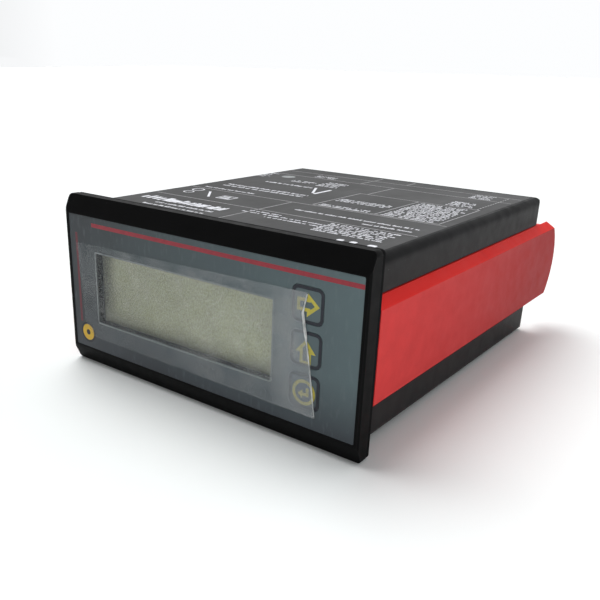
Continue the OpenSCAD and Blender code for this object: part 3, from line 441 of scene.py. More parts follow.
# Small parts inside: base, worn edges and roughness
SMALL_PARTS = {
    "plunger_plastic": (rgb(0.02, 0.02, 0.02), rgb(0.05, 0.05, 0.05), 0.4),
    "holder_plastic": (rgb(0.012, 0.012, 0.013), rgb(0.04, 0.04, 0.04), 0.5),
    "contact_rubber": (rgb(0.5, 0.16, 0.19), rgb(0.6, 0.28, 0.3), 0.6),
    "strip_plastic": (rgb(0.012, 0.012, 0.012), rgb(0.04, 0.04, 0.04), 0.45),
    "chip_plastic": (rgb(0.018, 0.018, 0.019), rgb(0.05, 0.05, 0.05), 0.5),
    "coupler_plastic": (rgb(0.68, 0.68, 0.64), rgb(0.8, 0.8, 0.78), 0.45),
    "ferrite_dark": (rgb(0.045, 0.045, 0.05), rgb(0.1, 0.1, 0.1), 0.6),
    "fuse_ceramic": (rgb(0.62, 0.61, 0.55), rgb(0.75, 0.74, 0.7), 0.5),
}
SMALL_PART_DUST = rgb(0.2, 0.2, 0.19)
SMALL_PART_GRAIN = {"grain_mm": 0.2, "grain_depth_mm": 0.006}
# Metals: base, tarnish colour, roughness and share of tarnish
METALS = {
    "screw_steel": (rgb(0.55, 0.555, 0.57), rgb(0.28, 0.27, 0.25), 0.32, 0.4),
    "switch_metal": (rgb(0.56, 0.57, 0.59), rgb(0.3, 0.3, 0.3), 0.36, 0.4),
    "pin_brass": (rgb(0.83, 0.62, 0.26), rgb(0.4, 0.26, 0.1), 0.26, 0.4),
    "contact_brass": (rgb(0.76, 0.58, 0.28), rgb(0.35, 0.24, 0.1), 0.3, 0.4),
    "terminal_tin": (rgb(0.66, 0.65, 0.62), rgb(0.35, 0.34, 0.32), 0.34, 0.4),
    "capacitor_can": (rgb(0.72, 0.73, 0.75), rgb(0.45, 0.45, 0.46), 0.28, 0.25),
    "reflector_sheet": (rgb(0.62, 0.63, 0.60), rgb(0.45, 0.46, 0.42), 0.4, 0.3),
}
MATERIALS = {
    "housing_plastic": housing_plastic(),
    "clamp_plastic": clamp_plastic(),
    "foil_print": foil_print(),
    "key_print": foil_print(),
    "window_clear": window_clear(),
    "lcd_glass": lcd_glass(),
    "film_clear": film_clear(),
    "label_print": label_print(),
    "board_laminate": board_laminate(),
}
for slot, (base, worn, dust, finish) in PLASTICS.items():
    MATERIALS[slot] = moulded_plastic(slot, base, worn, dust, **finish)
for slot, (base, worn, roughness) in SMALL_PARTS.items():
    MATERIALS[slot] = moulded_plastic(slot, base, worn, SMALL_PART_DUST, roughness, **SMALL_PART_GRAIN)
for slot, metal in METALS.items():
    MATERIALS[slot] = bare_metal(slot, *metal)

# Inks: two tones each
INK_TONES = {
    "red": (rgb(0.34, 0.028, 0.042), rgb(0.27, 0.026, 0.04)),
    "faint_red": (rgb(0.15, 0.024, 0.035), rgb(0.115, 0.03, 0.04)),
    "dark": (rgb(0.012, 0.014, 0.022), rgb(0.018, 0.02, 0.03)),
    "yellow": (rgb(0.56, 0.48, 0.07), rgb(0.46, 0.40, 0.065)),
    "amber": (rgb(0.72, 0.44, 0.025), rgb(0.62, 0.40, 0.03)),
    "pale": (rgb(0.26, 0.28, 0.28), rgb(0.20, 0.22, 0.225)),
    "white": (rgb(0.82, 0.83, 0.88), rgb(0.66, 0.67, 0.72)),
    "grey": (rgb(0.42, 0.42, 0.43), rgb(0.33, 0.33, 0.34)),
}
INK = {name: ink(name + "_ink", *tones) for name, tones in INK_TONES.items()}


# Pieces

# Points nearer than this are one point, and faces that meet within this angle are one flat face
WELD_MM = 0.002
FLAT_DEG = 0.3
# Edges sharper than this are rounded, in this many steps
BEVEL_FROM_DEG = 32
BEVEL_STEPS = 3
ROUNDED_SMOOTH_DEG = 40
RIDGE_SMOOTH_DEG = 80
CORNER_STEPS = 6
SMALL_CIRCLE_STEPS = 24


def into_scene(name, mesh, material, body, smooth_deg=35):
    """The mesh as a piece that rides on its body, shaded smooth up to that angle."""
    mesh.materials.clear()
    mesh.materials.append(material)
    for polygon in mesh.polygons:
        polygon.use_smooth = True
    mesh.set_sharp_from_angle(angle=math.radians(smooth_deg))
    piece = bpy.data.objects.new(name, mesh)
    bpy.context.scene.collection.objects.link(piece)
    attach(piece, body)
    return piece


def shown_mesh(draft):
    """The mesh that a draft object shows. The draft itself goes."""
    bpy.context.scene.collection.objects.link(draft)
    depsgraph = bpy.context.evaluated_depsgraph_get()
    mesh = bpy.data.meshes.new_from_object(draft.evaluated_get(depsgraph))
    bpy.data.objects.remove(draft)
    return mesh


def modified(mesh, kind, **settings):
    """A copy of the mesh with one modifier applied."""
    draft = bpy.data.objects.new("draft", mesh)
    modifier = draft.modifiers.new("step", kind)
    for name, value in settings.items():
        setattr(modifier, name, value)
    return shown_mesh(draft)


def rounded(node, radius_mm):
    """The node's own shape with its edges rounded, shown in place of the node."""
    mesh = frame["nodes"][node].data.copy()
    work = bmesh.new()
    work.from_mesh(mesh)
    bmesh.ops.remove_doubles(work, verts=work.verts, dist=WELD_MM * MM)
    bmesh.ops.join_triangles(work, faces=work.faces, angle_face_threshold=math.radians(FLAT_DEG),
                             angle_shape_threshold=math.pi)
    work.to_mesh(mesh)
    work.free()
    mesh = modified(mesh, "BEVEL", width=radius_mm * MM, segments=BEVEL_STEPS, limit_method="ANGLE",
                    angle_limit=math.radians(BEVEL_FROM_DEG), use_clamp_overlap=True,
                    miter_outer="MITER_ARC")
    work = bmesh.new()
    work.from_mesh(mesh)
    bmesh.ops.dissolve_limit(work, angle_limit=math.radians(FLAT_DEG), verts=work.verts, edges=work.edges)
    work.to_mesh(mesh)
    work.free()
    for polygon in mesh.polygons:
        polygon.use_smooth = True
    mesh = modified(mesh, "WEIGHTED_NORMAL", keep_sharp=True)
    slot = SLOT_OF[node]
    piece = into_scene(node + "_rounded", mesh, MATERIALS[slot], BODY_OF[node], ROUNDED_SMOOTH_DEG)
    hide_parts(node)


def finished(work, name):
    """The drafted faces as a mesh, all turned outwards."""
    bmesh.ops.recalc_face_normals(work, faces=work.faces)
    mesh = bpy.data.meshes.new(name)
    work.to_mesh(mesh)
    work.free()
    return mesh


def join_loops(work, first, second):
    """A closed band of faces between two loops of equal length."""
    for i in range(len(first)):
        j = (i + 1) % len(first)
        work.faces.new((first[i], first[j], second[j], second[i]))


def add_prism(work, outline, place):
    """One closed plate. An outline is a list of points, or a pair of loops of equal length for a ring."""
    ring = isinstance(outline, tuple)
    loops = outline if ring else (outline,)
    backs = [[work.verts.new(place(point, 0)) for point in loop] for loop in loops]
    fronts = [[work.verts.new(place(point, 1)) for point in loop] for loop in loops]
    for back, front in zip(backs, fronts):
        join_loops(work, back, front)
    for side in (backs, fronts):
        if ring:
            join_loops(work, *side)
        else:
            work.faces.new(side[0])


def prism(name, outlines, place, material, body):
    """Thin closed plates as one piece. place turns a 2-D point and a depth, 0 or 1, into 3-D."""
    work = bmesh.new()
    for outline in outlines:
        add_prism(work, outline, place)
    into_scene(name, finished(work, name), material, body)


def on_foil(point, depth):
    """A point of the front, in mm from its middle, on the foil's face."""
    out = depth * (PRINT_T + PRINT_SINK) - PRINT_SINK
    return (point[0] * MM, FOIL_Y - out, MID_Z + point[1] * MM)


def on_label(point, depth):
    """A point of the label, x in mm from the middle and y in mm from the bezel's front."""
    out = depth * (PRINT_T + PRINT_SINK) - PRINT_SINK
    return (point[0] * MM, FRONT_Y + point[1] * MM, LABEL_HIGH.z + out)


def box_loop(x0, z0, x1, z1):
    return [(x0, z0), (x1, z0), (x1, z1), (x0, z1)]


def round_loop(x, z, width, height, radius):
    """A rectangle with round corners, centred on x, z."""
    loop = []
    for side_x, side_z, start in ((1, 1, 0), (-1, 1, 90), (-1, -1, 180), (1, -1, 270)):
        corner_x = x + side_x * (width / 2 - radius)
        corner_z = z + side_z * (height / 2 - radius)
        for i in range(CORNER_STEPS + 1):
            turn = math.radians(start + 90 * i / CORNER_STEPS)
            loop.append((corner_x + radius * math.cos(turn), corner_z + radius * math.sin(turn)))
    return loop


def circle_loop(x, z, radius, steps=40):
    turns = [2 * math.pi * i / steps for i in range(steps)]
    return [(x + radius * math.cos(turn), z + radius * math.sin(turn)) for turn in turns]


def inset(loop, width):
    """The loop drawn in by a width, with mitred corners. The loop runs anticlockwise."""
    result = []
    count = len(loop)
    for i in range(count):
        before, here, after = Vector(loop[i - 1]), Vector(loop[i]), Vector(loop[(i + 1) % count])
        first, second = (here - before).normalized(), (after - here).normalized()
        normal_1, normal_2 = Vector((-first.y, first.x)), Vector((-second.y, second.x))
        corner = (normal_1 + normal_2) / (1 + normal_1.dot(normal_2))
        result.append(tuple(here + corner * width))
    return result


def turned(loop, degrees, x, z):
    """The loop turned about its own origin, which then goes to x, z."""
    cos, sin = math.cos(math.radians(degrees)), math.sin(math.radians(degrees))
    return [(x + p[0] * cos - p[1] * sin, z + p[0] * sin + p[1] * cos) for p in loop]


# Front. Places are x and z from its middle, in mm.

KEYS = ("right_key", "up_key", "enter_key")
# The key's hidden flange and a little clearance, both sides together
KEY_INSET = 0.94
KEY_STROKE = 0.75
KEY_CORNER = 1.58
SYMBOL_STROKE = 0.8
# A block arrow that points along +x, and how far each arrow turns and lies from its key's middle
ARROW = [(-2.9, -1.5), (-0.2, -1.5), (-0.2, -2.7), (3.0, 0.0), (-0.2, 2.7), (-0.2, 1.5), (-2.9, 1.5)]
ARROW_PLACES = {"right": (0, 0.1, 0.0), "up": (90, 0.0, -0.7)}
# The third key has a ring, a little below the key's middle, with a bent arrow in it
RING_DROP = 0.3
RING_RADIUS = 3.1
BENT_ARROW = [(1.35, 1.25), (1.35, -0.85), (-0.3, -0.85), (-0.3, -1.55), (-1.6, -0.45), (-0.3, 0.65),
              (-0.3, -0.05), (0.6, -0.05), (0.6, 1.25)]

# The upper red line runs from this left end almost to the foil's right edge
TOP_LINE_LEFT = -37.4
TOP_LINE_LOW = 16.3
TOP_LINE_HIGH = 17.35
TOP_LINE_MARGIN = 0.05
SIDE_LINE = (-44.35, -11.6, -43.5, 14.0)
# How far the window frame's outer and inner edge lie outside the opening, and their corner radii
FRAME_EDGES = ((0.4, 0.6), (0.02, 0.2))
# The round mark's middle, and the radii of its rim, disc and core
MARK_PLACE = (-41.4, -14.4)
MARK_RADII = (3.0, 2.35, 0.8)

# The film's left and right edge, each from top to bottom
FILM_LEFT = [(-44.15, 11.3), (-43.3, 3.2), (-42.7, -4.0), (-42.1, -11.5), (-38.6, -15.2)]
FILM_RIGHT = [(33.2, 12.9), (32.2, 8.2), (33.4, 2.3), (34.6, -4.0), (36.5, -15.9)]
FILM_COLUMNS = 96
FILM_ROWS = 36
# How far the sheet's front and back face stand off the foil
FILM_FACES = (0.085, 0.045)
FILM_WAVE = 0.12
FILM_SAG = 0.25
FILM_RIPPLE = 0.012
FILM_CURL = 0.06
CURL_FROM = 0.9
CREASE_STEPS = 90
CREASE_RIBS = 6
# The crease runs just inside the film's right edge, over nearly all its length
CREASE_FROM = 0.02
CREASE_SPAN = 0.97
CREASE_INWARD = 0.2
CREASE_LIFT = 0.2
# It is fullest at this share of its length. Half its width and its height: the least, how much
# more at the fullest place, how far that reaches, and the size and pace of the ripple
CREASE_PEAK = 0.36
CREASE_WIDTH = (0.16, 0.26, 0.13, 0.05, 31)
CREASE_HEIGHT = (0.1, 0.08, 0.2, 0.015, 17)


def key_centre(node):
    low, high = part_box(node)
    return (low.x + high.x) / 2 / MM, ((low.z + high.z) / 2 - MID_Z) / MM


def key_marks():
    """Printed frame of each key and its symbol, which move with the key."""
    for node in KEYS:
        x, z = key_centre(node)
        low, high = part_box(node)
        side = (high.x - low.x) / MM - KEY_INSET
        opening = side - 2 * KEY_STROKE
        loops = (round_loop(x, z, side, side, KEY_CORNER),
                 round_loop(x, z, opening, opening, KEY_CORNER - KEY_STROKE))
        prism(node + "_frame", [loops], on_foil, INK["dark"], BODY_OF[node])
    symbols = {}
    for name, (degrees, shift_x, shift_z) in ARROW_PLACES.items():
        x, z = key_centre(name + "_key")
        arrow = turned(ARROW, degrees, x + shift_x, z + shift_z)
        symbols[name] = [(arrow, inset(arrow, SYMBOL_STROKE))]
    x, z = key_centre("enter_key")
    z -= RING_DROP
    ring = (circle_loop(x, z, RING_RADIUS), circle_loop(x, z, RING_RADIUS - SYMBOL_STROKE))
    symbols["enter"] = [ring, turned(BENT_ARROW, 0, x, z)]
    for name, outlines in symbols.items():
        prism(name + "_symbol", outlines, on_foil, INK["yellow"], name + "_key")


def foil_shape(name, color, outline):
    prism(name, [outline], on_foil, INK[color], "housing")


def foil_lines():
    """Red lines, the pale frame round the window and the round mark."""
    right = FOIL_HIGH.x / MM - TOP_LINE_MARGIN
    foil_shape("red_line_top", "red", box_loop(TOP_LINE_LEFT, TOP_LINE_LOW, right, TOP_LINE_HIGH))
    foil_shape("red_line_side", "faint_red", box_loop(*SIDE_LINE))
    x = (OPEN_LOW.x + OPEN_HIGH.x) / 2 / MM
    z = ((OPEN_LOW.z + OPEN_HIGH.z) / 2 - MID_Z) / MM
    width = (OPEN_HIGH.x - OPEN_LOW.x) / MM
    height = (OPEN_HIGH.z - OPEN_LOW.z) / MM
    edges = [round_loop(x, z, width + 2 * out, height + 2 * out, corner) for out, corner in FRAME_EDGES]
    foil_shape("window_frame", "pale", tuple(edges))
    rim, disc, core = [circle_loop(*MARK_PLACE, radius) for radius in MARK_RADII]
    foil_shape("round_mark_ring", "dark", (rim, disc))
    foil_shape("round_mark", "amber", (disc, core))
    foil_shape("round_mark_core", "dark", core)


def along(points, share):
    """A point of a polyline at a share of its length in steps."""
    place = share * (len(points) - 1)
    i = min(int(place), len(points) - 2)
    return tuple(a + (place - i) * (b - a) for a, b in zip(points[i], points[i + 1]))


def film_place(s, t):
    """x, z and lift of the film in mm, at a share s of its width and t of its height."""
    left, right = along(FILM_LEFT, t), along(FILM_RIGHT, t)
    x = left[0] + s * (right[0] - left[0])
    z = left[1] + s * (right[1] - left[1])
    wave = FILM_WAVE * math.sin(9 * s + 2 * t) * (1 - abs(2 * t - 1))
    z += wave - FILM_SAG * (1 - t) * s * (1 - s)
    ripple = FILM_RIPPLE * (1 + math.sin(0.9 * x + 0.6 * z) * math.sin(0.35 * x - 1.1 * z))
    curl = max(0.0, (s - CURL_FROM) / (1 - CURL_FROM)) ** 2
    return x, z, ripple + FILM_CURL * curl * (1 + 0.6 * math.sin(2.2 * z))


def film_grid(work, off_mm):
    """The corners of one face of the film, as columns of points, at that distance from the foil."""
    grid = []
    for i in range(FILM_COLUMNS + 1):
        column = []
        for j in range(FILM_ROWS + 1):
            x, z, lift = film_place(i / FILM_COLUMNS, j / FILM_ROWS)
            column.append(work.verts.new((x * MM, FOIL_Y - (off_mm + lift) * MM, MID_Z + z * MM)))
        grid.append(column)
    return grid


def protective_film():
    """Thin film over the window and keys, with ripples, that curls up towards its crease."""
    work = bmesh.new()
    sheets = [film_grid(work, off_mm) for off_mm in FILM_FACES]
    for grid in sheets:
        for i in range(FILM_COLUMNS):
            for j in range(FILM_ROWS):
                work.faces.new((grid[i][j], grid[i + 1][j], grid[i + 1][j + 1], grid[i][j + 1]))
    rim = [(i, 0) for i in range(FILM_COLUMNS)]
    rim += [(FILM_COLUMNS, j) for j in range(FILM_ROWS)]
    rim += [(i, FILM_ROWS) for i in range(FILM_COLUMNS, 0, -1)]
    rim += [(0, j) for j in range(FILM_ROWS, 0, -1)]
    join_loops(work, *[[grid[i][j] for i, j in rim] for grid in sheets])
    mesh = finished(work, "film_sheet")
    film = into_scene("film_sheet", mesh, MATERIALS["film_clear"], "housing")
    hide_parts("protective_film")


def crease_size(t, least, more, reach, ripple, pace):
    """Half the crease's width, or its height, in mm at a share of its length."""
    return least + more * math.exp(-((t - CREASE_PEAK) / reach) ** 2) + ripple * math.sin(pace * t)


def film_crease():
    """A low ridge along the film's creased edge, fullest about a third of the way down."""
    work = bmesh.new()
    rings = []
    for i in range(CREASE_STEPS + 1):
        t = i / CREASE_STEPS
        x, z = along(FILM_RIGHT, CREASE_FROM + CREASE_SPAN * t)
        width = crease_size(t, *CREASE_WIDTH)
        height = crease_size(t, *CREASE_HEIGHT)
        ring = []
        for k in range(2 * CREASE_RIBS):
            turn = math.pi * k / CREASE_RIBS
            across = x - CREASE_INWARD + width * math.cos(turn)
            out = CREASE_LIFT + height * math.sin(turn)
            ring.append(work.verts.new((across * MM, FOIL_Y - out * MM, MID_Z + z * MM)))
        rings.append(ring)
    for first, second in zip(rings, rings[1:]):
        join_loops(work, first, second)
    work.faces.new(rings[0])
    work.faces.new(rings[-1])
    mesh = finished(work, "film_crease")
    into_scene("film_crease", mesh, crease_white(), "housing", RIDGE_SMOOTH_DEG)


# Label on the housing's top. Places are x from the middle and y from the bezel's front, in mm.

TEXT_BLOCKS = [
    # x from and to, first and last row, row height, row pitch, share of the bars that are drawn
    (-33, -10, 14.8, 14.8, 1.1, 1.6, 0.95),
    (-31, -10, 17.9, 17.9, 1.1, 1.6, 0.95),
    (-5, 6, 27.0, 27.0, 0.9, 1.4, 0.9),
    (-6, 22, 25.0, 25.0, 0.9, 1.4, 0.9),
    (3, 21, 22.8, 22.8, 0.9, 1.4, 0.9),
    (20, 40, 18.8, 28.0, 0.9, 1.5, 0.92),
    (3, 40, 36.5, 36.5, 1.1, 1.6, 0.95),
    (26, 40, 33.0, 33.0, 1.1, 1.6, 0.95),
    (-40, -20, 47.8, 47.8, 1.1, 1.6, 0.9),
    (-38, -6, 54.2, 57.4, 1.3, 2.7, 0.95),
    (-33, -14, 70.0, 70.0, 1.6, 2.0, 0.95),
    (-28, -18, 77.0, 80.5, 1.1, 1.9, 0.9),
    (-17, -8, 75.5, 83.5, 1.1, 1.9, 0.9),
    (-28, -18, 91.0, 94.0, 0.9, 1.5, 0.85),
    (-44, -39, 79.0, 88.0, 0.9, 1.6, 0.8),
    (3.2, 21.2, 56.4, 60.6, 1.0, 1.55, 0.92),
    (3.2, 21.2, 47.2, 50.0, 1.0, 1.5, 0.92),
    (23.2, 39.4, 47.2, 71.0, 1.0, 1.62, 0.94),
    (29, 38, 74.0, 80.5, 1.0, 1.6, 0.88),
    (29, 37, 90.5, 96.5, 0.9, 1.5, 0.88),
]
TEXT_SEED = 5
CHARACTER_WIDTH = (0.28, 0.6)
CHARACTER_GAP = 0.14
WORD_LENGTH = (2, 7)
WORD_GAP = (0.35, 0.6)
# Two bars in three are this share of the row's height, the others its full height
RISES = (0.68, 0.68, 1.0)
INDENT = 0.4
RAGGED_END = 2.0
# A block's last row counts when rounding puts it this much too far
ROW_SLACK = 0.01

BAND_SEED = 11
BAND_LEFT = -40.0
BAND_RIGHT = -10.0
# No bar of the band starts nearer to its right end than this
BAND_SHORTEST = 0.4
BAND_Y = 20.3
BAND_WIDTH = (0.5, 1.9)
BAND_SHIFT = 0.5
BAND_HEIGHTS = (3.6, 4.2, 4.2, 2.9)
BAND_GAPS = (0.18, 0.18, 0.5, 0.9)

RULE_W = 0.28
# x and y of each rule's two ends
RULES = [
    (-42.6, 29.5, 42.8, 29.5),
    (-42.6, 45.0, 42.8, 45.0),
    (-42.6, 89.0, 42.8, 89.0),
    (-42.6, 97.5, 42.8, 97.5),
    (-4.0, 9.0, -4.0, 29.2),
    (-4.0, 29.8, -4.0, 44.7),
    (-8.0, 89.3, -8.0, 104.0),
    (4.5, 72.3, 4.5, 88.7),
    (4.5, 97.8, 4.5, 104.0),
    (21.8, 46.3, 21.8, 71.7),
    (2.0, 46.2, 40.4, 46.2),
    (2.0, 72.0, 40.4, 72.0),
    (2.1, 46.3, 2.1, 72.0),
    (40.2, 46.3, 40.2, 72.0),
]
# A dashed line: x from and to, the first dash's y, the number of dashes, their pitch and length
DASHES = (39.1, 39.4, 72.6, 13, 1.9, 1.2)
# x and width of each dot in a row near the label's front
DOTS = [(31.6, 1.7), (35.0, 1.7), (39.8, 2.1)]
DOT_Y = 14.0
DOT_HEIGHT = 1.7
DOT_CORNER = 0.6
DISC = (-34.0, 84.0, 2.4)


def text_rows():
    """Rows of small bars that read as print from a distance and spell nothing."""
    draw = random.Random(TEXT_SEED)
    bars = []
    for x0, x1, first, last, height, pitch, filled in TEXT_BLOCKS:
        y = first
        while y <= last + ROW_SLACK:
            x = x0 + draw.uniform(0, INDENT)
            end = x1 - draw.uniform(0, RAGGED_END) * (last > first)
            while x < end:
                for _ in range(draw.randint(*WORD_LENGTH)):
                    width = draw.uniform(*CHARACTER_WIDTH)
                    if x + width > end:
                        break
                    rise = height * draw.choice(RISES)
                    if draw.random() < filled:
                        bars.append(box_loop(x, y - height / 2, x + width, y - height / 2 + rise))
                    x += width + CHARACTER_GAP
                x += draw.uniform(*WORD_GAP)
            y += pitch
    return bars


def thick_band():
    """The pale banded strip near the front, made of upright bars."""
    draw = random.Random(BAND_SEED)
    bars = []
    x = BAND_LEFT
    while x < BAND_RIGHT - BAND_SHORTEST:
        width = draw.uniform(*BAND_WIDTH)
        low = BAND_Y + draw.uniform(0, BAND_SHIFT)
        bars.append(box_loop(x, low, min(x + width, BAND_RIGHT), low + draw.choice(BAND_HEIGHTS)))
        x += width + draw.choice(BAND_GAPS)
    return bars


def label_marks():
    """A few plain shapes in the places of the label's symbols: rings, a frame, bars and a slash."""
    rings = [[circle_loop(x, y, radius, SMALL_CIRCLE_STEPS) for radius in (outer, inner)]
             for x, y, outer, inner in ((-37.0, 41.5, 2.0, 1.55), (-36.6, 36.8, 1.7, 1.3))]
    square = (round_loop(-21.5, 36.8, 5.2, 4.6, 0.4), round_loop(-21.5, 36.8, 4.4, 3.8, 0.2))
    return [
        *map(tuple, rings),
        square,
        turned(box_loop(-4.4, -0.35, 4.4, 0.35), -52, -29.2, 37.8),
        box_loop(-23.2, 35.3, -19.8, 36.2),
        box_loop(-23.2, 37.0, -20.6, 37.9),
        box_loop(-8.2, 61.0, -7.2, 70.5),
        turned(box_loop(-5.0, -0.4, 5.0, 0.4), 118, -11.2, 66.5),
    ]


def label_rules():
    """The label's straight rules and its dashed line."""
    half = RULE_W / 2
    bars = []
    for x0, y0, x1, y1 in RULES:
        across = y0 == y1
        side, end = (0, half) if across else (half, 0)
        bars.append(box_loop(x0 - side, y0 - end, x1 + side, y1 + end))
    x0, x1, first, count, pitch, length = DASHES
    bars += [box_loop(x0, first + pitch * i, x1, first + pitch * i + length) for i in range(count)]
    return bars


def label_shape(name, color, outlines):
    prism(name, outlines, on_label, INK[color], "housing")


def type_label_print():
    """All the label's print, without any lettering."""
    label_shape("label_rules", "grey", label_rules())
    label_shape("label_text", "white", text_rows())
    label_shape("label_band", "white", thick_band())
    label_shape("label_marks", "white", label_marks())
    dots = [round_loop(x, DOT_Y, width, DOT_HEIGHT, DOT_CORNER) for x, width in DOTS]
    label_shape("label_dots", "white", dots)
    label_shape("label_disc", "pale", [circle_loop(*DISC)])


# Rear: plain numbers for the terminals

TERMINALS = (1, 2, 3, 4)
NUMBER_SIZE = 3 * MM
NUMBER_RISE = 1.6 * MM


def terminal_numbers():
    """Each terminal's number on the rear cover, above its screw."""
    for number in TERMINALS:
        low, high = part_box("terminal_screw_%d" % number)
        curve = bpy.data.curves.new("number_%d" % number, "FONT")
        curve.body = str(number)
        curve.size = NUMBER_SIZE
        curve.align_x = "CENTER"
        curve.extrude = PRINT_T
        mesh = shown_mesh(bpy.data.objects.new("draft", curve))
        place = ((low.x + high.x) / 2, COVER_HIGH.y + PRINT_T / 2, PLUG_HIGH.z + NUMBER_RISE)
        upright = Matrix.Rotation(math.pi / 2, 4, "X")
        mesh.transform(Matrix.Translation(place) @ Matrix.Rotation(math.pi, 4, "Z") @ upright)
        into_scene("terminal_number_%d" % number, mesh, INK["white"], "housing")


# Stage, light and camera. Sizes and places are in metres.

FLOOR_SIZE = 3.0
# The housing rests on the floor this far in front of its rear edge
REAR_REST = 2 * MM

# The room's strength from its front to behind the object, and what it is near the horizon
ROOM_FRONT = 0.16
ROOM_BACK = 1.0
ROOM_HORIZON = 0.95
ROOM_COLOR = rgb(0.98, 0.99, 1.0)
ROOM_SPAN = (0.05, 0.6)
HORIZON_SPAN = (0.0, 0.07)
KEY_POWER = 2.62
KEY_SPREAD_DEG = 48
KEY_FROM = (-0.48, 0.12, 0.92)
FILL_POWER = 0.62
FILL_SIZE = 0.5
FILL_PLACE = (0.46, -0.34, 0.34)

# The camera was fitted to the photo in mm, from the middle of the bezel's bottom front edge
CAMERA_AZIMUTH = 37.43
CAMERA_ELEVATION = 20.78
CAMERA_ROLL = 1.54
CAMERA_DISTANCE = 216.8
CAMERA_TARGET = (-8.59, 40.0, 4.82)
FOCAL_PX = 717.9
CENTRE_PX = (265.4, 337.7)
FRAME_PX = 600
SENSOR_MM = 36


def floor():
    """Pale floor that touches the bezel's lower edge and the housing's rear lower edge."""
    front = Vector((0, BEZEL_LOW.y + BAR_LEAN, BEZEL_LOW.z))
    rear = Vector((0, SHELL_HIGH.y - REAR_REST, SHELL_LOW.z))
    slope = math.atan2(rear.z - front.z, rear.y - front.y)
    mesh = bpy.data.meshes.new("floor")
    work = bmesh.new()
    bmesh.ops.create_grid(work, x_segments=1, y_segments=1, size=FLOOR_SIZE)
    work.to_mesh(mesh)
    work.free()
    plane = bpy.data.objects.new("floor", mesh)
    plane.matrix_world = Matrix.Translation(front) @ Matrix.Rotation(slope, 4, "X")
    bpy.context.scene.collection.objects.link(plane)
    look = Look("floor_paper", Roughness=0.85, Specular_IOR_Level=0.2)
    patch = look.noise(size_mm=40, detail=3)
    look.color(look.blend(patch, rgb(0.905, 0.930, 0.928), rgb(0.930, 0.955, 0.950)))
    plane.data.materials.append(look.material)


def room_strength(tree, value, span, first, last):
    """The value along its span, turned into a strength from first to last."""
    node = tree.nodes.new("ShaderNodeMapRange")
    settings = {"From Min": span[0], "From Max": span[1], "To Min": first, "To Max": last}
    for name, setting in settings.items():
        node.inputs[name].default_value = setting
    tree.links.new(value, node.inputs["Value"])
    return node.outputs[0]


def room():
    """A room that is white behind the object and at the horizon, and dim over the object's front."""
    world = bpy.data.worlds.new("studio")
    world.use_nodes = True
    tree = world.node_tree
    background = tree.nodes["Background"]
    direction = tree.nodes.new("ShaderNodeTexCoord").outputs["Generated"]
    axes = tree.nodes.new("ShaderNodeSeparateXYZ")
    tree.links.new(direction, axes.inputs[0])
    behind = room_strength(tree, axes.outputs["Y"], ROOM_SPAN, ROOM_FRONT, ROOM_BACK)
    horizon = room_strength(tree, axes.outputs["Z"], HORIZON_SPAN, ROOM_HORIZON, ROOM_FRONT)
    brighter = tree.nodes.new("ShaderNodeMath")
    brighter.operation = "MAXIMUM"
    tree.links.new(behind, brighter.inputs[0])
    tree.links.new(horizon, brighter.inputs[1])
    tree.links.new(brighter.outputs[0], background.inputs["Strength"])
    background.inputs["Color"].default_value = ROOM_COLOR
    bpy.context.scene.world = world


def lamp(name, kind, source, **settings):
    """A light turned to shine on the scene's middle from the direction of its source."""
    data = bpy.data.lights.new(name, kind)
    for setting, value in settings.items():
        setattr(data, setting, value)
    light = bpy.data.objects.new(name, data)
    light.rotation_euler = Vector(source).to_track_quat("Z", "Y").to_euler()
    bpy.context.scene.collection.objects.link(light)
    return light


def lights():
    """The room, a broad sun from above and a soft fill from the front right."""
    room()
    lamp("key", "SUN", KEY_FROM, energy=KEY_POWER, angle=math.radians(KEY_SPREAD_DEG))
    fill = lamp("fill", "AREA", FILL_PLACE, shape="DISK", size=FILL_SIZE, energy=FILL_POWER)
    fill.location = FILL_PLACE


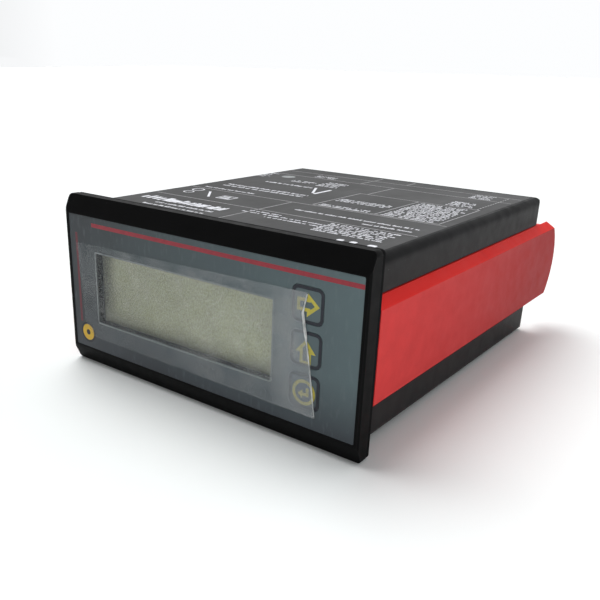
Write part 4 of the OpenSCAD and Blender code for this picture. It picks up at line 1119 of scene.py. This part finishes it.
def camera():
    """The photo's own camera, in its fitted place."""
    azimuth, elevation = math.radians(CAMERA_AZIMUTH), math.radians(CAMERA_ELEVATION)
    roll = math.radians(CAMERA_ROLL)
    back = Vector((math.sin(azimuth) * math.cos(elevation), -math.cos(azimuth) * math.cos(elevation),
                   math.sin(elevation)))
    side = Vector((math.cos(azimuth), math.sin(azimuth), 0))
    up = back.cross(side)
    right = side * math.cos(roll) + up * math.sin(roll)
    above = up * math.cos(roll) - side * math.sin(roll)
    target = Vector(CAMERA_TARGET) * MM + Vector((0, FRONT_Y, BEZEL_LOW.z))
    data = bpy.data.cameras.new("camera")
    data.sensor_width = SENSOR_MM
    data.lens = FOCAL_PX / FRAME_PX * SENSOR_MM
    data.shift_x = (FRAME_PX / 2 - CENTRE_PX[0]) / FRAME_PX
    data.shift_y = (CENTRE_PX[1] - FRAME_PX / 2) / FRAME_PX
    data.clip_start = 0.005
    data.clip_end = 20
    view = bpy.data.objects.new("camera", data)
    axes = Matrix((right, above, back)).transposed().to_4x4()
    view.matrix_world = Matrix.Translation(target + back * CAMERA_DISTANCE * MM) @ axes
    bpy.context.scene.collection.objects.link(view)
    bpy.context.scene.camera = view


# Every CAD node gets its slot's material
for node, thing in frame["nodes"].items():
    for place in thing.material_slots:
        place.material = MATERIALS[SLOT_OF[node]]

# The outer nodes, and some inner ones, are shown with their edges rounded by these radii
ROUNDING_MM = {
    "front_bezel": 0.35,
    "housing_shell": 0.35,
    "panel_gasket": 0.2,
    "right_clamp": 0.28,
    "left_clamp": 0.28,
    "rear_cover": 0.2,
    "cover_screws": 0.12,
    "terminal_plug": 0.15,
    "terminal_socket": 0.15,
    "terminal_screw_1": 0.1,
    "terminal_screw_2": 0.1,
    "terminal_screw_3": 0.1,
    "terminal_screw_4": 0.1,
    "control_chip": 0.08,
    "storage_capacitors": 0.3,
    "filter_choke": 0.3,
    "key_switches": 0.15,
    "front_foil": 0.06,
}
for node, radius in ROUNDING_MM.items():
    rounded(node, radius)

key_marks()
foil_lines()
protective_film()
film_crease()
type_label_print()
terminal_numbers()
floor()
lights()
camera()
bpy.context.scene.view_settings.view_transform = "Standard"
